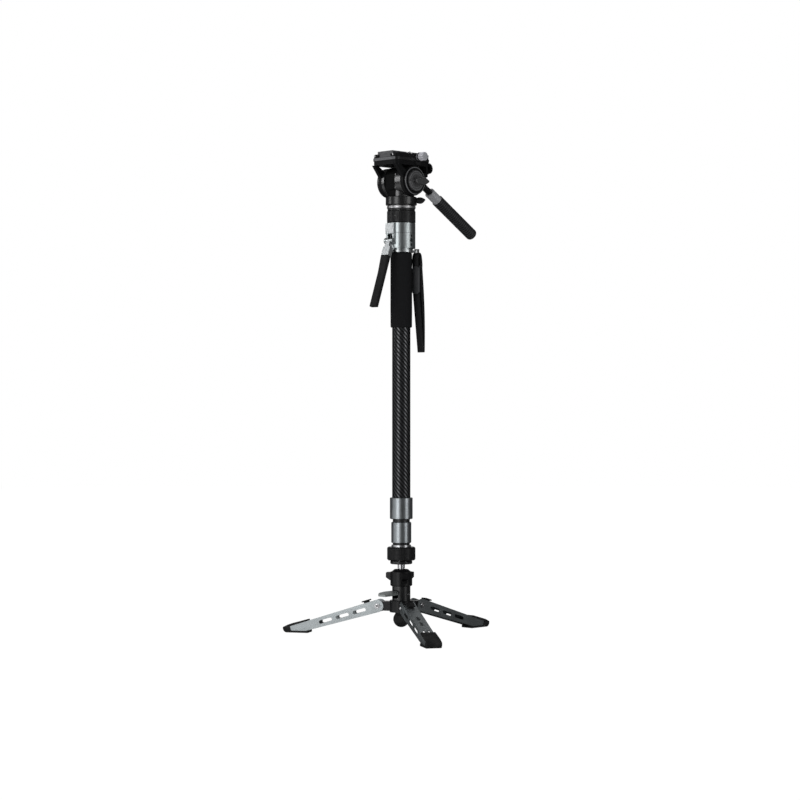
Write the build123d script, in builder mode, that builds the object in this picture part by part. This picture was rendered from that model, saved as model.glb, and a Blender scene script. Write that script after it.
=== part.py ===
from build123d import *
import os
from math import asin, cos, degrees, radians, sin, sqrt, tan

os.makedirs("parts", exist_ok=True)

# A video monopod, retracted: a three-legged base with a tilting ball, three carbon
# tubes, a squeeze-lever release and a small fluid head. Millimetres, +Z up. The origin
# is on the column axis at the ground, and the head looks along -Y.

# Clearances and overruns shared by all pieces
fit = 0.05
run_fit = 0.1
face_gap = 0.3
overrun = 1.0
edge = 0.5

# Base: hub, its three legs and the ball foot
hub_r = 14.95
hub_wall = 3.5
spider_r = 19.0
spider_bottom = 38.0
spider_height = 19.4
spider_top = spider_bottom + spider_height
barrel_height = 23.6
barrel_top = spider_top + barrel_height
pivot_reach = 38.0
pivot_rise = 9.5
pivot_z = spider_bottom + pivot_rise
arm_width = 17.4
arm_half = 7.5
pin_r = 2.5
pin_head_r = 4.25
pin_head = 1.5
leg_places = ("right", "rear", "left")
full_turn = 360
leg_azimuths = {place: full_turn * (order + 1 / 2) / len(leg_places)
                for order, place in enumerate(leg_places)}
leg_length = 155.0
leg_tip_z = 3.5
leg_drop = degrees(asin((pivot_z - leg_tip_z) / leg_length))
leg_tip_reach = pivot_reach + leg_length * cos(radians(leg_drop))
leg_width = 21.5
leg_wall = 1.6
leg_root_half = 10.2
leg_tip_half = 7.0
leg_plate_start = 9.6
side_slot_length = 23.0
side_slot_width = 5.5
side_slot_first = 32.1
side_slot_pitch = 30.3
side_slots = 3
top_slot_length = 15.0
top_slot_width = 5.6
top_slot_first = 66.5
top_slot_pitch = 21.4
top_slots = 2
tip_slot_length = 18.0
tip_slot_width = 3.8
tip_slot_place = 121.0
tip_slot_side = 4.0

# Rubber shoe at each leg's tip
shoe_width = 24.0
shoe_sole = 3.2
shoe_heel_back = 29.6
shoe_heel = leg_tip_reach - shoe_heel_back
shoe_toe_ahead = 6.8
shoe_toe = leg_tip_reach + shoe_toe_ahead
shoe_nose_ahead = 13.4
shoe_nose = leg_tip_reach + shoe_nose_ahead
shoe_nose_z = 9.0
shoe_top_back = 25.6
shoe_top_start = leg_tip_reach - shoe_top_back
shoe_top_start_z = 21.6
shoe_top_ahead = 4.4
shoe_top_end = leg_tip_reach + shoe_top_ahead
shoe_top_end_z = 13.3

# Sprung catch on top of each leg
catch_start = 11.2
catch_length = 14.4
catch_width = 12.0
catch_height = 2.1
catch_lift = 1.9
catch_stem_length = 8.0
catch_stem_width = 8.0
catch_stem_depth = 7.0

# Ball foot under the hub
foot_ball_r = 13.2
foot_ball_drop = 11.8
foot_ball_z = spider_bottom - foot_ball_drop
foot_neck_r = 10.0
stud_r = 4.0
stud_drop = 10.0
stud_bottom = spider_bottom - stud_drop
stud_rise = 11.0
stud_top = spider_bottom + stud_rise

# Pedal and its lock plunger
pedal_width = 30.0
pedal_root_width = 12.0
pedal_tip_width = 15.0
pedal_thickness = 3.5
pedal_root = 15.0
pedal_shoulder = 11.0
pedal_side = 11.0
pedal_nose = 9.0
pedal_wide_start = pedal_root + pedal_shoulder
pedal_wide_end = pedal_wide_start + pedal_side
pedal_tip = pedal_wide_end + pedal_nose
pedal_slope = 7.9
pedal_rise = 16.0
pedal_top = spider_top + pedal_rise
pedal_arm_depth = 6.4
pedal_arm_bottom = pedal_top - pedal_arm_depth
pedal_travel = 5.0
plunger_r = 4.5
plunger_drop = 3.0
plunger_bottom = pedal_arm_bottom - plunger_drop
spring_r = 6.8
spring_wire_r = 0.7
spring_turns = 4

# Ball swivel in its housing
ball_r = 11.0
ball_rise = 13.5
ball_z = barrel_top + ball_rise
ball_tilt = 15.0
housing_r = 18.0
housing_wall = 2.8
housing_height = 23.0
housing_top = barrel_top + housing_height
housing_floor = 1.8
housing_bore_r = housing_r - housing_wall
cap_seat = 5.4
cap_bottom = housing_top - cap_seat
cap_rise = 4.0
cap_top = housing_top + cap_rise
cap_top_r = 11.5
cap_mouth_r = 10.2
cap_thread_wall = 1.7
cap_thread_r = housing_r - cap_thread_wall
lip_height = 7.5
neck_r = 4.5
stem_r = 5.9
neck_rise = 1.5
stem_start = cap_top + neck_rise
stem_flange_r = 18.05
stem_length = 7.3
stem_flange_bottom = stem_start + stem_length
stem_flange_height = 5.5
stem_flange_top = stem_flange_bottom + stem_flange_height
stem_core_r = 8.0
stem_core_height = 27.7
stem_core_top = stem_flange_top + stem_core_height
pad_width = 9.5
pad_proud = 7.0
pad_reach = housing_r + pad_proud
pad_rise = 9.0
pad_bottom = barrel_top + pad_rise
pad_height = 13.0
pad_top = pad_bottom + pad_height
pad_slant = 4.5
pad_slot_height = 4.3
pad_slot_depth = 1.5

# Foot ring and plug under the tubes
ring_r = 23.2
ring_gap = 0.7
ring_bottom = stem_flange_top + ring_gap
ring_height = 21.6
ring_top = ring_bottom + ring_height
ring_chamfer = 1.6
ring_knurls = 60
knurl_r = 0.8
plug_sleeve_r = 12.0
plug_flange_r = 16.1
plug_gap = 0.4
plug_flange_bottom = ring_top + plug_gap
plug_flange_height = 3.0
plug_flange_top = plug_flange_bottom + plug_flange_height
plug_depth = 17.0

# Three carbon tubes with their collars and bushes
tube_wall = 1.3
tube_1_r = 15.0
tube_step = 2.0
tube_2_r = tube_1_r - tube_step
tube_3_r = tube_2_r - tube_step
tube_1_length = 470.0
tube_2_headroom = 36.2
tube_3_headroom = 38.0
tube_seat = 3.6
bush_height = 10.0
bush_spigot = 12.0
collar_1_wall = 3.65
collar_2_wall = 3.45
collar_lip_wall = 1.0
collar_1_r = tube_1_r + collar_1_wall
collar_2_r = tube_2_r + collar_2_wall
collar_lip_r = tube_2_r + collar_lip_wall
collar_height = 33.9
collar_1_height = 34.9
collar_lip_height = 3.0
collar_lip_rise = 5.0
collar_lip_bottom = plug_flange_top + plug_gap
collar_2_bottom = collar_lip_bottom + collar_lip_height
collar_2_top = collar_2_bottom + collar_height
collar_lip_top = collar_2_top + collar_lip_rise
collar_1_bottom = collar_lip_top + face_gap
collar_1_top = collar_1_bottom + collar_1_height
tube_1_bottom = collar_1_bottom + tube_seat
tube_2_bottom = collar_2_bottom + tube_seat
tube_1_top = tube_1_bottom + tube_1_length
tube_2_top = tube_1_top - tube_2_headroom
tube_3_top = tube_2_top - tube_3_headroom
collar_chamfer = 0.8

# Release body with its squeeze lever
release_wall = 8.15
release_r = tube_1_r + release_wall
release_cap = 10.5
release_height = 41.1
release_top = tube_1_top + release_cap
release_bottom = release_top - release_height
seam_drop = 16.2
release_seam = release_top - seam_drop
seam_width = 0.6
seam_depth = 0.5
release_skirt_wall = 4.0
release_skirt_r = tube_1_r + release_skirt_wall
release_skirt_height = 2.7
release_skirt_bottom = release_bottom - release_skirt_height
release_boss_wall = 4.5
release_boss_r = tube_1_r + release_boss_wall
release_boss_height = 21.1
release_boss_top = release_top + release_boss_height
block_width = 19.0
block_proud = 3.85
block_reach = release_r + block_proud
block_height = 17.7
block_bottom = release_top - block_height
ear_inner = 5.2
ear_outer = 9.4
pocket_wall = 0.4
pocket_reach = release_skirt_r + pocket_wall
side_hole_r = 2.0
camera_thread_rise = 12.7
side_hole_offset = 7.25
camera_thread_z = release_bottom + camera_thread_rise
side_hole_zs = (camera_thread_z - side_hole_offset, camera_thread_z + side_hole_offset)
camera_thread_r = 3.175
side_hole_depth = 6.5
lever_hub_r = 5.0
lever_y = pocket_reach + lever_hub_r + pocket_wall * 4
lever_drop = 12.0
ear_r = 5.2
lever_z = block_bottom - lever_drop
ear_bottom = lever_z - ear_r
lever_angle = 18.9
lever_hub_width = 9.8
lever_pin_r = 1.75
lever_start = 11.6
lever_block_end = 27.0
lever_block_inner = 3.4
lever_block_outer = 4.6
lever_width = 16.0
lever_thickness = 6.6
lever_end = 114.5
lever_flare = 2.3
lever_flare_end = 56.0
lever_corner = 2.0
lever_tongue_end = 60.0
lever_tongue_width = 9.0
lever_tongue_thickness = 2.6
toe_width = 7.0
toe_half = 2.4
toe_gap = 1.0
lever_slot_width = 8.6
lever_slot_half = 6.6
rod_r = 3.0
rod_head_r = 6.0
rod_head = 4.0
rod_clearance = 10.0
rod_bottom = tube_1_bottom + rod_clearance

# Foam grip, strap ring and wrist strap
foam_wall = 2.85
foam_r = tube_1_r + foam_wall
foam_fillet = 1.5
foam_length = 122.5
strap_ring_wall = 5.5
strap_ring_r = tube_1_r + strap_ring_wall
strap_ring_height = 3.6
strap_ring_top = release_skirt_bottom - face_gap
strap_ring_bottom = strap_ring_top - strap_ring_height
foam_top = strap_ring_bottom - edge
foam_bottom = foam_top - foam_length
strap_azimuth = 140
eyelet_proud = 2.1
eyelet_reach = strap_ring_r + eyelet_proud
eyelet_r = 4.6
eyelet_hole_r = 2.0
clip_wire_r = 1.0
clip_width = 4.4
clip_drop = 8.0
clip_top = strap_ring_bottom - clip_drop
strap_pivot_drop = 16.0
strap_pivot_z = clip_top - strap_pivot_drop
strap_pin_r = 0.8
strap_cheek = 1.4
slider_width = 14.6
slider_thickness = 4.0
slider_length = 45.2
slider_top = strap_pivot_z + strap_cheek
slider_bottom = slider_top - slider_length
slider_x = 16.1
slider_y = 18.0
slider_corner = 4.5
band_width = 15.0
band_thickness = 2.4
band_drop = 96.2
band_end_z = slider_bottom - band_drop
band_lean = 6.3

# Lock ring, adapter and pan base under the head
lock_ring_proud = 0.25
lock_ring_r = release_r + lock_ring_proud
lock_ring_bottom = release_top + face_gap
lock_ring_height = 20.4
lock_ring_top = lock_ring_bottom + lock_ring_height
lock_ring_chamfer = 1.2
adapter_low_inset = 0.65
adapter_low_r = release_r - adapter_low_inset
adapter_top_proud = 0.35
adapter_top_r = release_r + adapter_top_proud
adapter_gap = 0.2
adapter_bottom = release_boss_top + adapter_gap
adapter_low_height = 3.0
adapter_step = adapter_bottom + adapter_low_height
adapter_top_height = 4.0
adapter_top = adapter_step + adapter_top_height
adapter_stud_r = 4.76
adapter_stud_drop = 15.0
adapter_stud_rise = 9.0
pan_base_r = 25.6
pan_neck_r = 22.0
pan_neck_height = 1.3
pan_base_bottom = adapter_top + pan_neck_height
pan_base_height = 13.6
pan_base_top = pan_base_bottom + pan_base_height
pan_spindle_r = 9.0
pan_spindle_rise = 9.0
wing_azimuth = 125
wing_rise = 7.7
wing_z = pan_base_bottom + wing_rise
wing_shaft_r = 3.0
wing_seat = 6.0
wing_neck_r = 3.6
wing_reach = 40.0
wing_half = 5.0
wing_root_half = 4.2
wing_tip_rise = 1.4
wing_thickness = 4.2

# Fluid head: drum, yoke and platform
tilt_rise = 24.6
tilt_z = pan_base_top + tilt_rise
drum_r = 24.5
drum_half = 21.8
drum_flat_low = 16.0
drum_flat_high = 9.0
drum_flat_depth = 3.0
drum_flat_half = 15.0
axle_r = 5.0
plate_inner = drum_half + face_gap
plate_thickness = 5.9
plate_outer = plate_inner + plate_thickness
yoke_hub_r = 24.0
cap_depth = 4.0
cap_outer = plate_outer + cap_depth
cap_left_r = 24.2
cap_right_r = 22.0
cap_ring_r = 19.4
cap_ring_width = 1.2
cap_ring_depth = 0.5
platform_lip = 1.0
platform_width = 2 * (plate_outer + platform_lip)
platform_front = 41.0
platform_rear = 41.0
platform_rise = 25.5
platform_bottom = tilt_z + platform_rise
platform_inset = 1.2
platform_corner = 9.0
trim_rise = 7.5
trim_bottom = platform_bottom + trim_rise
trim_height = 4.5
trim_top = trim_bottom + trim_height
trim_wall = 1.6
deck_height = 5.2
deck_top = trim_top + deck_height
plate_half = 17.5
rail_inner = plate_half + edge
rail_height = 1.8
rail_top = deck_top + rail_height
rail_front = 34.0
rail_rear = 36.0
arm_top_front = 40.0
arm_top_back = 30.5
arm_foot_front = 22.0
arm_foot_front_rise = 3.5
arm_foot_front_z = tilt_z + arm_foot_front_rise
arm_foot_back = 13.5
arm_foot_back_rise = 15.0
arm_foot_back_z = tilt_z + arm_foot_back_rise
boss_y = 43.0
boss_drop = 1.4
boss_z = platform_bottom - boss_drop
boss_r = 8.7
handle_x = plate_outer
handle_hub_half = 5.7
boss_outer = handle_x - handle_hub_half - face_gap
boss_length = 10.0
boss_inner = boss_outer - boss_length
boss_wall_front = 29.5
boss_wall_back = 33.5
boss_wall_drop = 11.0
boss_wall_low = platform_bottom - boss_wall_drop
link_low_y = 20.0
link_low_z = arm_foot_front_z
link_high_y = 17.0
link_high_z = arm_foot_back_z
link_end_rise = 9.0
link_end_z = tilt_z + link_end_rise
boss_bolt_r = 3.0
tooth_count = 24
tooth_depth = 0.7
tooth_width = 0.9

# Tilt lock knob, clamp knob and safety button
knob_r = 17.0
knob_disc = 3.0
knob_face = cap_outer + face_gap + knob_disc
knob_boss_r = 5.5
knob_lever_half = 6.2
knob_lever_swell = 11.5
knob_tip = 24.6
knob_tip_half = 2.2
knob_lever_height = 5.7
knob_lever_top = knob_face + knob_lever_height
knob_rib = 2.2
knob_shaft_r = 3.0
clamp_y = 12.0
clamp_drop = 2.2
clamp_z = deck_top - clamp_drop
clamp_r = 6.0
clamp_length = 12.4
clamp_flange_r = 6.9
clamp_flange = 2.0
clamp_shaft_r = 2.5
clamp_shaft_depth = 7.0
button_y = 10.0
button_rise = 3.8
button_z = platform_bottom + button_rise
button_width = 11.0
button_height = 5.4
button_proud = 1.9
button_depth = 4.0

# Quick plate, camera screw and locating pin
plate_front = 37.7
plate_rear = 40.0
plate_bottom = deck_top + face_gap
plate_height = 5.0
plate_top = plate_bottom + plate_height
dovetail_height = 5.0
dovetail_bottom = plate_bottom - dovetail_height
dovetail_half_top = 13.2
dovetail_half_bottom = 15.6
slot_length = 40.0
slot_y = 10.0
slot_width = 6.9
head_slot_width = 15.2
head_slot_length = 50.0
head_slot_depth = 6.3
head_slot_top = dovetail_bottom + head_slot_depth
screw_r = 3.175
screw_head_r = 7.2
screw_head_height = 4.1
screw_head_bottom = head_slot_top - run_fit - screw_head_height
screw_rise = 2.6
screw_lead = 0.2
screw_neck_r = 2.6
screw_y = 8.0
locator_y = 19.0
locator_r = 1.9
locator_rise = 3.8
locator_seat = 6.0

# Pan handle on the far side
handle_drop = 32.2
handle_rod_r = 5.5
handle_collar_start = 61.5
handle_collar_length = 22.3
handle_collar_end = handle_collar_start + handle_collar_length
handle_collar_r = 8.65
handle_grip_length = 103.4
handle_end = handle_collar_end + handle_grip_length
handle_grip_r = 10.0
handle_core_r = 4.5
handle_core_short = 27.2
handle_core_end = handle_end - handle_core_short
handle_bolt_head_r = 6.2
handle_bolt_head = 5.5


upright = (Align.CENTER, Align.CENTER, Align.MIN)


def keep(piece, name):
    """Label a finished piece and write it."""
    piece.part.label = name
    export_step(piece.part, f"parts/{name}.step")


def compass(azimuth):
    """Unit direction on the ground: 0 is the front, 90 the operator's left."""
    return Vector(sin(radians(azimuth)), -cos(radians(azimuth)), 0)


def radial_plane(azimuth, reach, height):
    """Plane facing outwards at a place round the column, with its Y axis up."""
    out = compass(azimuth)
    return Plane(origin=out * reach + Vector(0, 0, height), x_dir=compass(azimuth + 90), z_dir=out)


def side_plane(azimuth, reach, height, drop):
    """Plane seen from the side of a radial arm: X runs outwards and down, Y up."""
    along = compass(azimuth) * cos(radians(drop)) - Vector(0, 0, sin(radians(drop)))
    across = compass(azimuth - 90)
    return Plane(origin=compass(azimuth) * reach + Vector(0, 0, height), x_dir=along, z_dir=across)


def tube(outer, inner, bottom, top):
    """Add a round bar between two heights to the part in hand, or a tube if inner isn't zero."""
    with Locations((0, 0, bottom)):
        Cylinder(outer, top - bottom, align=upright)
    if inner > 0:
        bore(inner, bottom, top)


def bore(radius, bottom, top):
    """Cut a round bore on the column axis from the part in hand."""
    with Locations((0, 0, bottom)):
        Cylinder(radius, top - bottom, align=upright, mode=Mode.SUBTRACT)


# Hub spider: a disc with three lugs for the legs
with BuildPart() as hub_spider:
    tube(spider_r, 0, spider_bottom, spider_top)
    for azimuth in leg_azimuths.values():
        with BuildSketch(side_plane(azimuth, 0, pivot_z, 0)):
            with Locations((pivot_reach / 2, 0)):
                Rectangle(pivot_reach, 2 * arm_half)
            with Locations((pivot_reach, 0)):
                Circle(arm_half)
        extrude(amount=arm_width / 2, both=True)
    for azimuth in leg_azimuths.values():
        with BuildSketch(side_plane(azimuth, pivot_reach, pivot_z, 0)):
            Circle(pin_r + fit)
        extrude(amount=arm_width, both=True, mode=Mode.SUBTRACT)
    bore(stud_r + fit, spider_bottom - overrun, stud_top)
    chamfer(hub_spider.faces().sort_by(Axis.Z)[-1].edges(), edge)
keep(hub_spider, "hub_spider")

# Hub barrel: the slotted tube that guides the pedal
slot_low = pedal_arm_bottom - pedal_travel - overrun
barrel_inner_r = hub_r - hub_wall
with BuildPart() as hub_barrel:
    tube(hub_r, barrel_inner_r, spider_top, barrel_top)
    with BuildSketch(Plane.XZ):
        with Locations((0, (slot_low + pedal_top + overrun) / 2)):
            Rectangle(pedal_root_width + 2 * face_gap, pedal_top + overrun - slot_low)
    extrude(amount=hub_r + overrun, mode=Mode.SUBTRACT)
keep(hub_barrel, "hub_barrel")

# Pivot pins: one screw and nut through each lug
with BuildPart() as leg_pivot_pins:
    for azimuth in leg_azimuths.values():
        with BuildSketch(side_plane(azimuth, pivot_reach, pivot_z, 0)):
            Circle(pin_r)
        extrude(amount=leg_width / 2 + fit, both=True)
        for side in (1, -1):
            head_plane = side_plane(azimuth, pivot_reach, pivot_z, 0).offset(side * (leg_width / 2 + fit))
            with BuildSketch(head_plane):
                Circle(pin_head_r)
            extrude(amount=side * pin_head)
keep(leg_pivot_pins, "leg_pivot_pins")

# Ball foot of rubber on its steel stud
with BuildPart() as ball_foot_stud:
    tube(stud_r, 0, stud_bottom, stud_top - face_gap)
keep(ball_foot_stud, "ball_foot_stud")

with BuildPart() as ball_foot:
    with Locations((0, 0, foot_ball_z)):
        Sphere(foot_ball_r)
    tube(foot_neck_r, 0, foot_ball_z, spider_bottom)
    split(bisect_by=Plane.XY.offset(spider_bottom), keep=Keep.BOTTOM)
    bore(stud_r + fit, stud_bottom - face_gap, spider_bottom + overrun)
keep(ball_foot, "ball_foot")


# Side outlines of a leg and of the hollow in its channel, true and grown by the fit
leg_faces = {}
hollow_faces = {}
for grow in (0, fit):
    with BuildSketch() as leg_face:
        with BuildLine():
            taper = Polyline((0, leg_root_half + grow), (leg_length + grow, leg_tip_half + grow),
                             (leg_length + grow, -leg_tip_half - grow), (0, -leg_root_half - grow))
            ThreePointArc(taper @ 1, (-leg_root_half - grow, 0), taper @ 0)
        make_face()
    leg_faces[grow] = leg_face.sketch
    root = leg_root_half - leg_wall - grow
    tip = leg_tip_half - leg_wall - grow
    with BuildSketch() as hollow_face:
        with BuildLine():
            Polyline((-leg_root_half - overrun, root), (0, root), (leg_length + overrun, tip),
                     (leg_length + overrun, -2 * leg_root_half),
                     (-leg_root_half - overrun, -2 * leg_root_half), close=True)
        make_face()
    hollow_faces[grow] = hollow_face.sketch

# Side outline of a shoe, from the ground under the column axis
with BuildSketch() as shoe_face:
    with BuildLine():
        sole = Polyline((shoe_top_start, shoe_top_start_z), (shoe_heel, shoe_sole), (shoe_heel, 0),
                        (shoe_toe, 0))
        nose = ThreePointArc(sole @ 1, (shoe_nose - edge, shoe_nose_z / 2 - edge), (shoe_nose, shoe_nose_z))
        Polyline(nose @ 1, (shoe_top_end, shoe_top_end_z), sole @ 0)
    make_face()

inner_half = leg_width / 2 - leg_wall
catch_window = catch_start + (catch_length - catch_stem_length) / 2
for place, azimuth in leg_azimuths.items():
    side = side_plane(azimuth, pivot_reach, pivot_z, leg_drop)
    top = Plane(origin=side.origin, x_dir=side.x_dir, z_dir=side.y_dir)
    ground = side_plane(azimuth, 0, 0, 0)

    # Leg channel: a tapered U open downwards, with its slots
    with BuildPart() as leg_channel:
        with BuildSketch(side):
            add(leg_faces[0])
        extrude(amount=leg_width / 2, both=True)
        with BuildSketch(side):
            add(hollow_faces[0])
        extrude(amount=inner_half, both=True, mode=Mode.SUBTRACT)
        with BuildSketch(side):
            with Locations((leg_plate_start - leg_root_half, leg_root_half)):
                Rectangle(2 * leg_root_half, 2 * leg_root_half)
        extrude(amount=inner_half, both=True, mode=Mode.SUBTRACT)
        with BuildSketch(side):
            Circle(pin_r + fit)
            for count in range(side_slots):
                with Locations((side_slot_first + count * side_slot_pitch, 0)):
                    SlotOverall(side_slot_length, side_slot_width)
        extrude(amount=leg_width, both=True, mode=Mode.SUBTRACT)
        with BuildSketch(top):
            for count in range(top_slots):
                with Locations((top_slot_first + count * top_slot_pitch, 0)):
                    SlotOverall(top_slot_length, top_slot_width)
            for across in (-tip_slot_side, tip_slot_side):
                with Locations((tip_slot_place, across)):
                    SlotOverall(tip_slot_length, tip_slot_width)
            with Locations((catch_window + catch_stem_length / 2, 0)):
                Rectangle(catch_stem_length + 2 * run_fit, catch_stem_width + 2 * run_fit)
        extrude(amount=leg_root_half + overrun, mode=Mode.SUBTRACT)
        split(bisect_by=Plane.XY.offset(shoe_sole), keep=Keep.TOP)
    keep(leg_channel, f"leg_channel_{place}")

    # Rubber shoe: a frame round the leg's tip with a core inside the channel
    with BuildPart() as leg_shoe:
        with BuildSketch(ground):
            add(shoe_face.sketch)
        extrude(amount=shoe_width / 2, both=True)
        with BuildSketch(side):
            add(leg_faces[fit])
            add(hollow_faces[fit], mode=Mode.SUBTRACT)
        extrude(amount=inner_half, both=True, mode=Mode.SUBTRACT)
        for hand in (1, -1):
            with BuildSketch(side.offset(hand * (inner_half - fit))):
                add(leg_faces[fit])
            extrude(amount=hand * shoe_width, mode=Mode.SUBTRACT)
        with BuildSketch(ground):
            with Locations(((shoe_heel + shoe_toe) / 2, (shoe_sole - fit) / 2)):
                Rectangle(shoe_toe - shoe_heel, shoe_sole - fit)
        extrude(amount=shoe_width / 2, both=True)
    keep(leg_shoe, f"leg_shoe_{place}")

    # Sprung catch that frees the leg to fold
    with BuildPart() as leg_catch:
        with BuildSketch(top.offset(leg_root_half + catch_lift)):
            with Locations((catch_start + catch_length / 2, 0)):
                RectangleRounded(catch_length, catch_width, edge * 3)
        extrude(amount=catch_height)
        with BuildSketch(top.offset(leg_root_half + catch_lift)):
            with Locations((catch_window + catch_stem_length / 2, 0)):
                Rectangle(catch_stem_length, catch_stem_width)
        extrude(amount=-catch_lift - catch_stem_depth)
        chamfer(leg_catch.faces().sort_by(Axis(side.origin, side.y_dir))[-1].edges(), edge)
    keep(leg_catch, f"leg_catch_{place}")

# Pedal: a sloping six-sided plate with an arm to the plunger
pedal_plane = Plane(origin=(0, -pedal_root, pedal_top), x_dir=(1, 0, 0),
                    z_dir=(0, -sin(radians(pedal_slope)), cos(radians(pedal_slope))))
with BuildPart() as pedal:
    with BuildSketch(pedal_plane):
        with BuildLine():
            outline = Polyline((-pedal_root_width / 2, 0), (-pedal_width / 2, pedal_root - pedal_wide_start),
                               (-pedal_width / 2, pedal_root - pedal_wide_end),
                               (-pedal_tip_width / 2, pedal_root - pedal_tip),
                               (pedal_tip_width / 2, pedal_root - pedal_tip),
                               (pedal_width / 2, pedal_root - pedal_wide_end),
                               (pedal_width / 2, pedal_root - pedal_wide_start),
                               (pedal_root_width / 2, 0), close=True)
        make_face()
    extrude(amount=-pedal_thickness)
    fillet(pedal.edges().filter_by(Axis((0, 0, 0), pedal_plane.z_dir)), edge * 3)
    with BuildSketch(Plane.XY.offset(pedal_arm_bottom)):
        with Locations((0, -(pedal_root + overrun) / 2)):
            Rectangle(pedal_root_width, pedal_root + overrun)
        Circle(plunger_r + spring_wire_r * 3)
    extrude(amount=pedal_top - pedal_thickness / 2 - pedal_arm_bottom)
    bore(plunger_r + fit, pedal_arm_bottom - overrun, pedal_top + overrun)
keep(pedal, "pedal")

race_bottom = barrel_top + housing_floor + run_fit
with BuildPart() as lock_plunger:
    tube(plunger_r, 0, plunger_bottom, race_bottom - 2 * run_fit)
keep(lock_plunger, "lock_plunger")

# Spring that lifts the pedal, coiled round the plunger
spring_bottom = spider_top + spring_wire_r + fit
spring_top = pedal_arm_bottom - spring_wire_r - fit
with BuildPart() as pedal_spring:
    with BuildLine() as coil:
        Helix(pitch=(spring_top - spring_bottom) / spring_turns, height=spring_top - spring_bottom,
              radius=spring_r, center=(0, 0, spring_bottom))
    with BuildSketch(Plane(origin=coil.line @ 0, z_dir=coil.line % 0)):
        Circle(spring_wire_r)
    sweep(is_frenet=True)
keep(pedal_spring, "pedal_spring")

# Ball housing with three lugs that the folded legs lie against
with BuildPart() as ball_housing:
    tube(housing_r, plunger_r + run_fit, barrel_top, housing_top)
    chamfer(ball_housing.faces().sort_by(Axis.Z)[0].edges().sort_by(SortBy.RADIUS)[-1:], edge * 2)
    bore(housing_bore_r, barrel_top + housing_floor, cap_bottom)
    bore(cap_thread_r, cap_bottom, housing_top + overrun)
    for azimuth in leg_azimuths.values():
        with BuildSketch(radial_plane(azimuth, housing_r - pad_slot_depth, pad_bottom - pad_slot_height / 2)):
            Rectangle(pad_width, pad_slot_height)
        extrude(amount=pad_slot_depth + overrun, mode=Mode.SUBTRACT)
keep(ball_housing, "ball_housing")

with BuildPart() as stow_pads:
    for azimuth in leg_azimuths.values():
        with BuildSketch(side_plane(azimuth, 0, 0, 0)):
            with BuildLine():
                Polyline((housing_bore_r, pad_bottom), (housing_r + edge, pad_bottom),
                         (pad_reach, pad_bottom + pad_slant), (pad_reach, pad_top - edge * 2),
                         (pad_reach - edge * 2, pad_top), (housing_bore_r, pad_top), close=True)
            make_face()
        extrude(amount=pad_width / 2, both=True)
    bore(housing_r + fit, pad_bottom - overrun, pad_top + overrun)
keep(stow_pads, "stow_pads")

# Cap whose lip holds the ball, with a mouth wide enough for its full tilt
lip_r = neck_r / cos(radians(ball_tilt)) + lip_height * tan(radians(ball_tilt)) + face_gap
with BuildPart() as housing_cap:
    with BuildSketch(Plane.XZ):
        with BuildLine():
            Polyline((0, cap_bottom + fit), (cap_thread_r - fit, cap_bottom + fit),
                     (cap_thread_r - fit, housing_top), (cap_top_r + edge, cap_top - edge),
                     (cap_top_r, cap_top), (0, cap_top), close=True)
        make_face()
    revolve(axis=Axis.Z)
    with Locations((0, 0, ball_z)):
        Sphere(ball_r + run_fit, mode=Mode.SUBTRACT)
    with BuildSketch(Plane.XZ):
        with BuildLine():
            Polyline((0, ball_z), (lip_r, ball_z), (lip_r, ball_z + lip_height),
                     (cap_mouth_r, cap_top), (cap_mouth_r, cap_top + overrun),
                     (0, cap_top + overrun), close=True)
        make_face()
    revolve(axis=Axis.Z, mode=Mode.SUBTRACT)
keep(housing_cap, "housing_cap")

# Turning race under the ball
with BuildPart() as swivel_race:
    tube(housing_bore_r - run_fit, 0, race_bottom, ball_z)
    with Locations((0, 0, ball_z)):
        Sphere(ball_r + run_fit, mode=Mode.SUBTRACT)
    bore(plunger_r, race_bottom - overrun, ball_z)
keep(swivel_race, "swivel_race")

# Ball with its neck, stem and flange
with BuildPart() as ball_stem:
    with Locations((0, 0, ball_z)):
        Sphere(ball_r)
    tube(neck_r, 0, ball_z, stem_start)
    tube(stem_r, 0, stem_start, stem_flange_bottom)
    tube(stem_flange_r, 0, stem_flange_bottom, stem_flange_top)
    chamfer(ball_stem.edges().filter_by(GeomType.CIRCLE).sort_by(SortBy.RADIUS)[-2:], edge * 2)
    tube(stem_core_r, 0, stem_flange_top, stem_core_top)
keep(ball_stem, "ball_stem")

with BuildPart() as foot_plug:
    tube(plug_sleeve_r, 0, stem_flange_top + fit, plug_flange_bottom)
    tube(plug_flange_r, 0, plug_flange_bottom, plug_flange_top)
    tube(tube_3_r - tube_wall - fit, 0, plug_flange_top, plug_flange_top + plug_depth)
    bore(stem_core_r + fit, stem_flange_top, stem_core_top + fit)
keep(foot_plug, "foot_plug")

# Knurled ring round the plug
with BuildPart() as foot_ring:
    tube(ring_r, 0, ring_bottom, ring_top)
    chamfer(foot_ring.edges().filter_by(GeomType.CIRCLE), ring_chamfer)
    with BuildSketch(Plane.XY.offset(ring_bottom)):
        with PolarLocations(ring_r + knurl_r / 2, ring_knurls):
            Circle(knurl_r)
    extrude(amount=ring_top - ring_bottom, mode=Mode.SUBTRACT)
    bore(plug_sleeve_r + run_fit, ring_bottom - overrun, ring_top + overrun)
keep(foot_ring, "foot_ring")

# Three carbon tubes, the outer one slotted for the lever's toe
bush_reach = {"bush_2": (tube_1_r, tube_2_r, tube_2_top), "bush_3": (tube_2_r, tube_3_r, tube_3_top)}
with BuildPart() as tube_3:
    tube(tube_3_r, tube_3_r - tube_wall, plug_flange_top, tube_3_top)
keep(tube_3, "tube_3")

with BuildPart() as tube_2:
    tube(tube_2_r, tube_2_r - tube_wall, tube_2_bottom, tube_2_top)
keep(tube_2, "tube_2")

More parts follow.
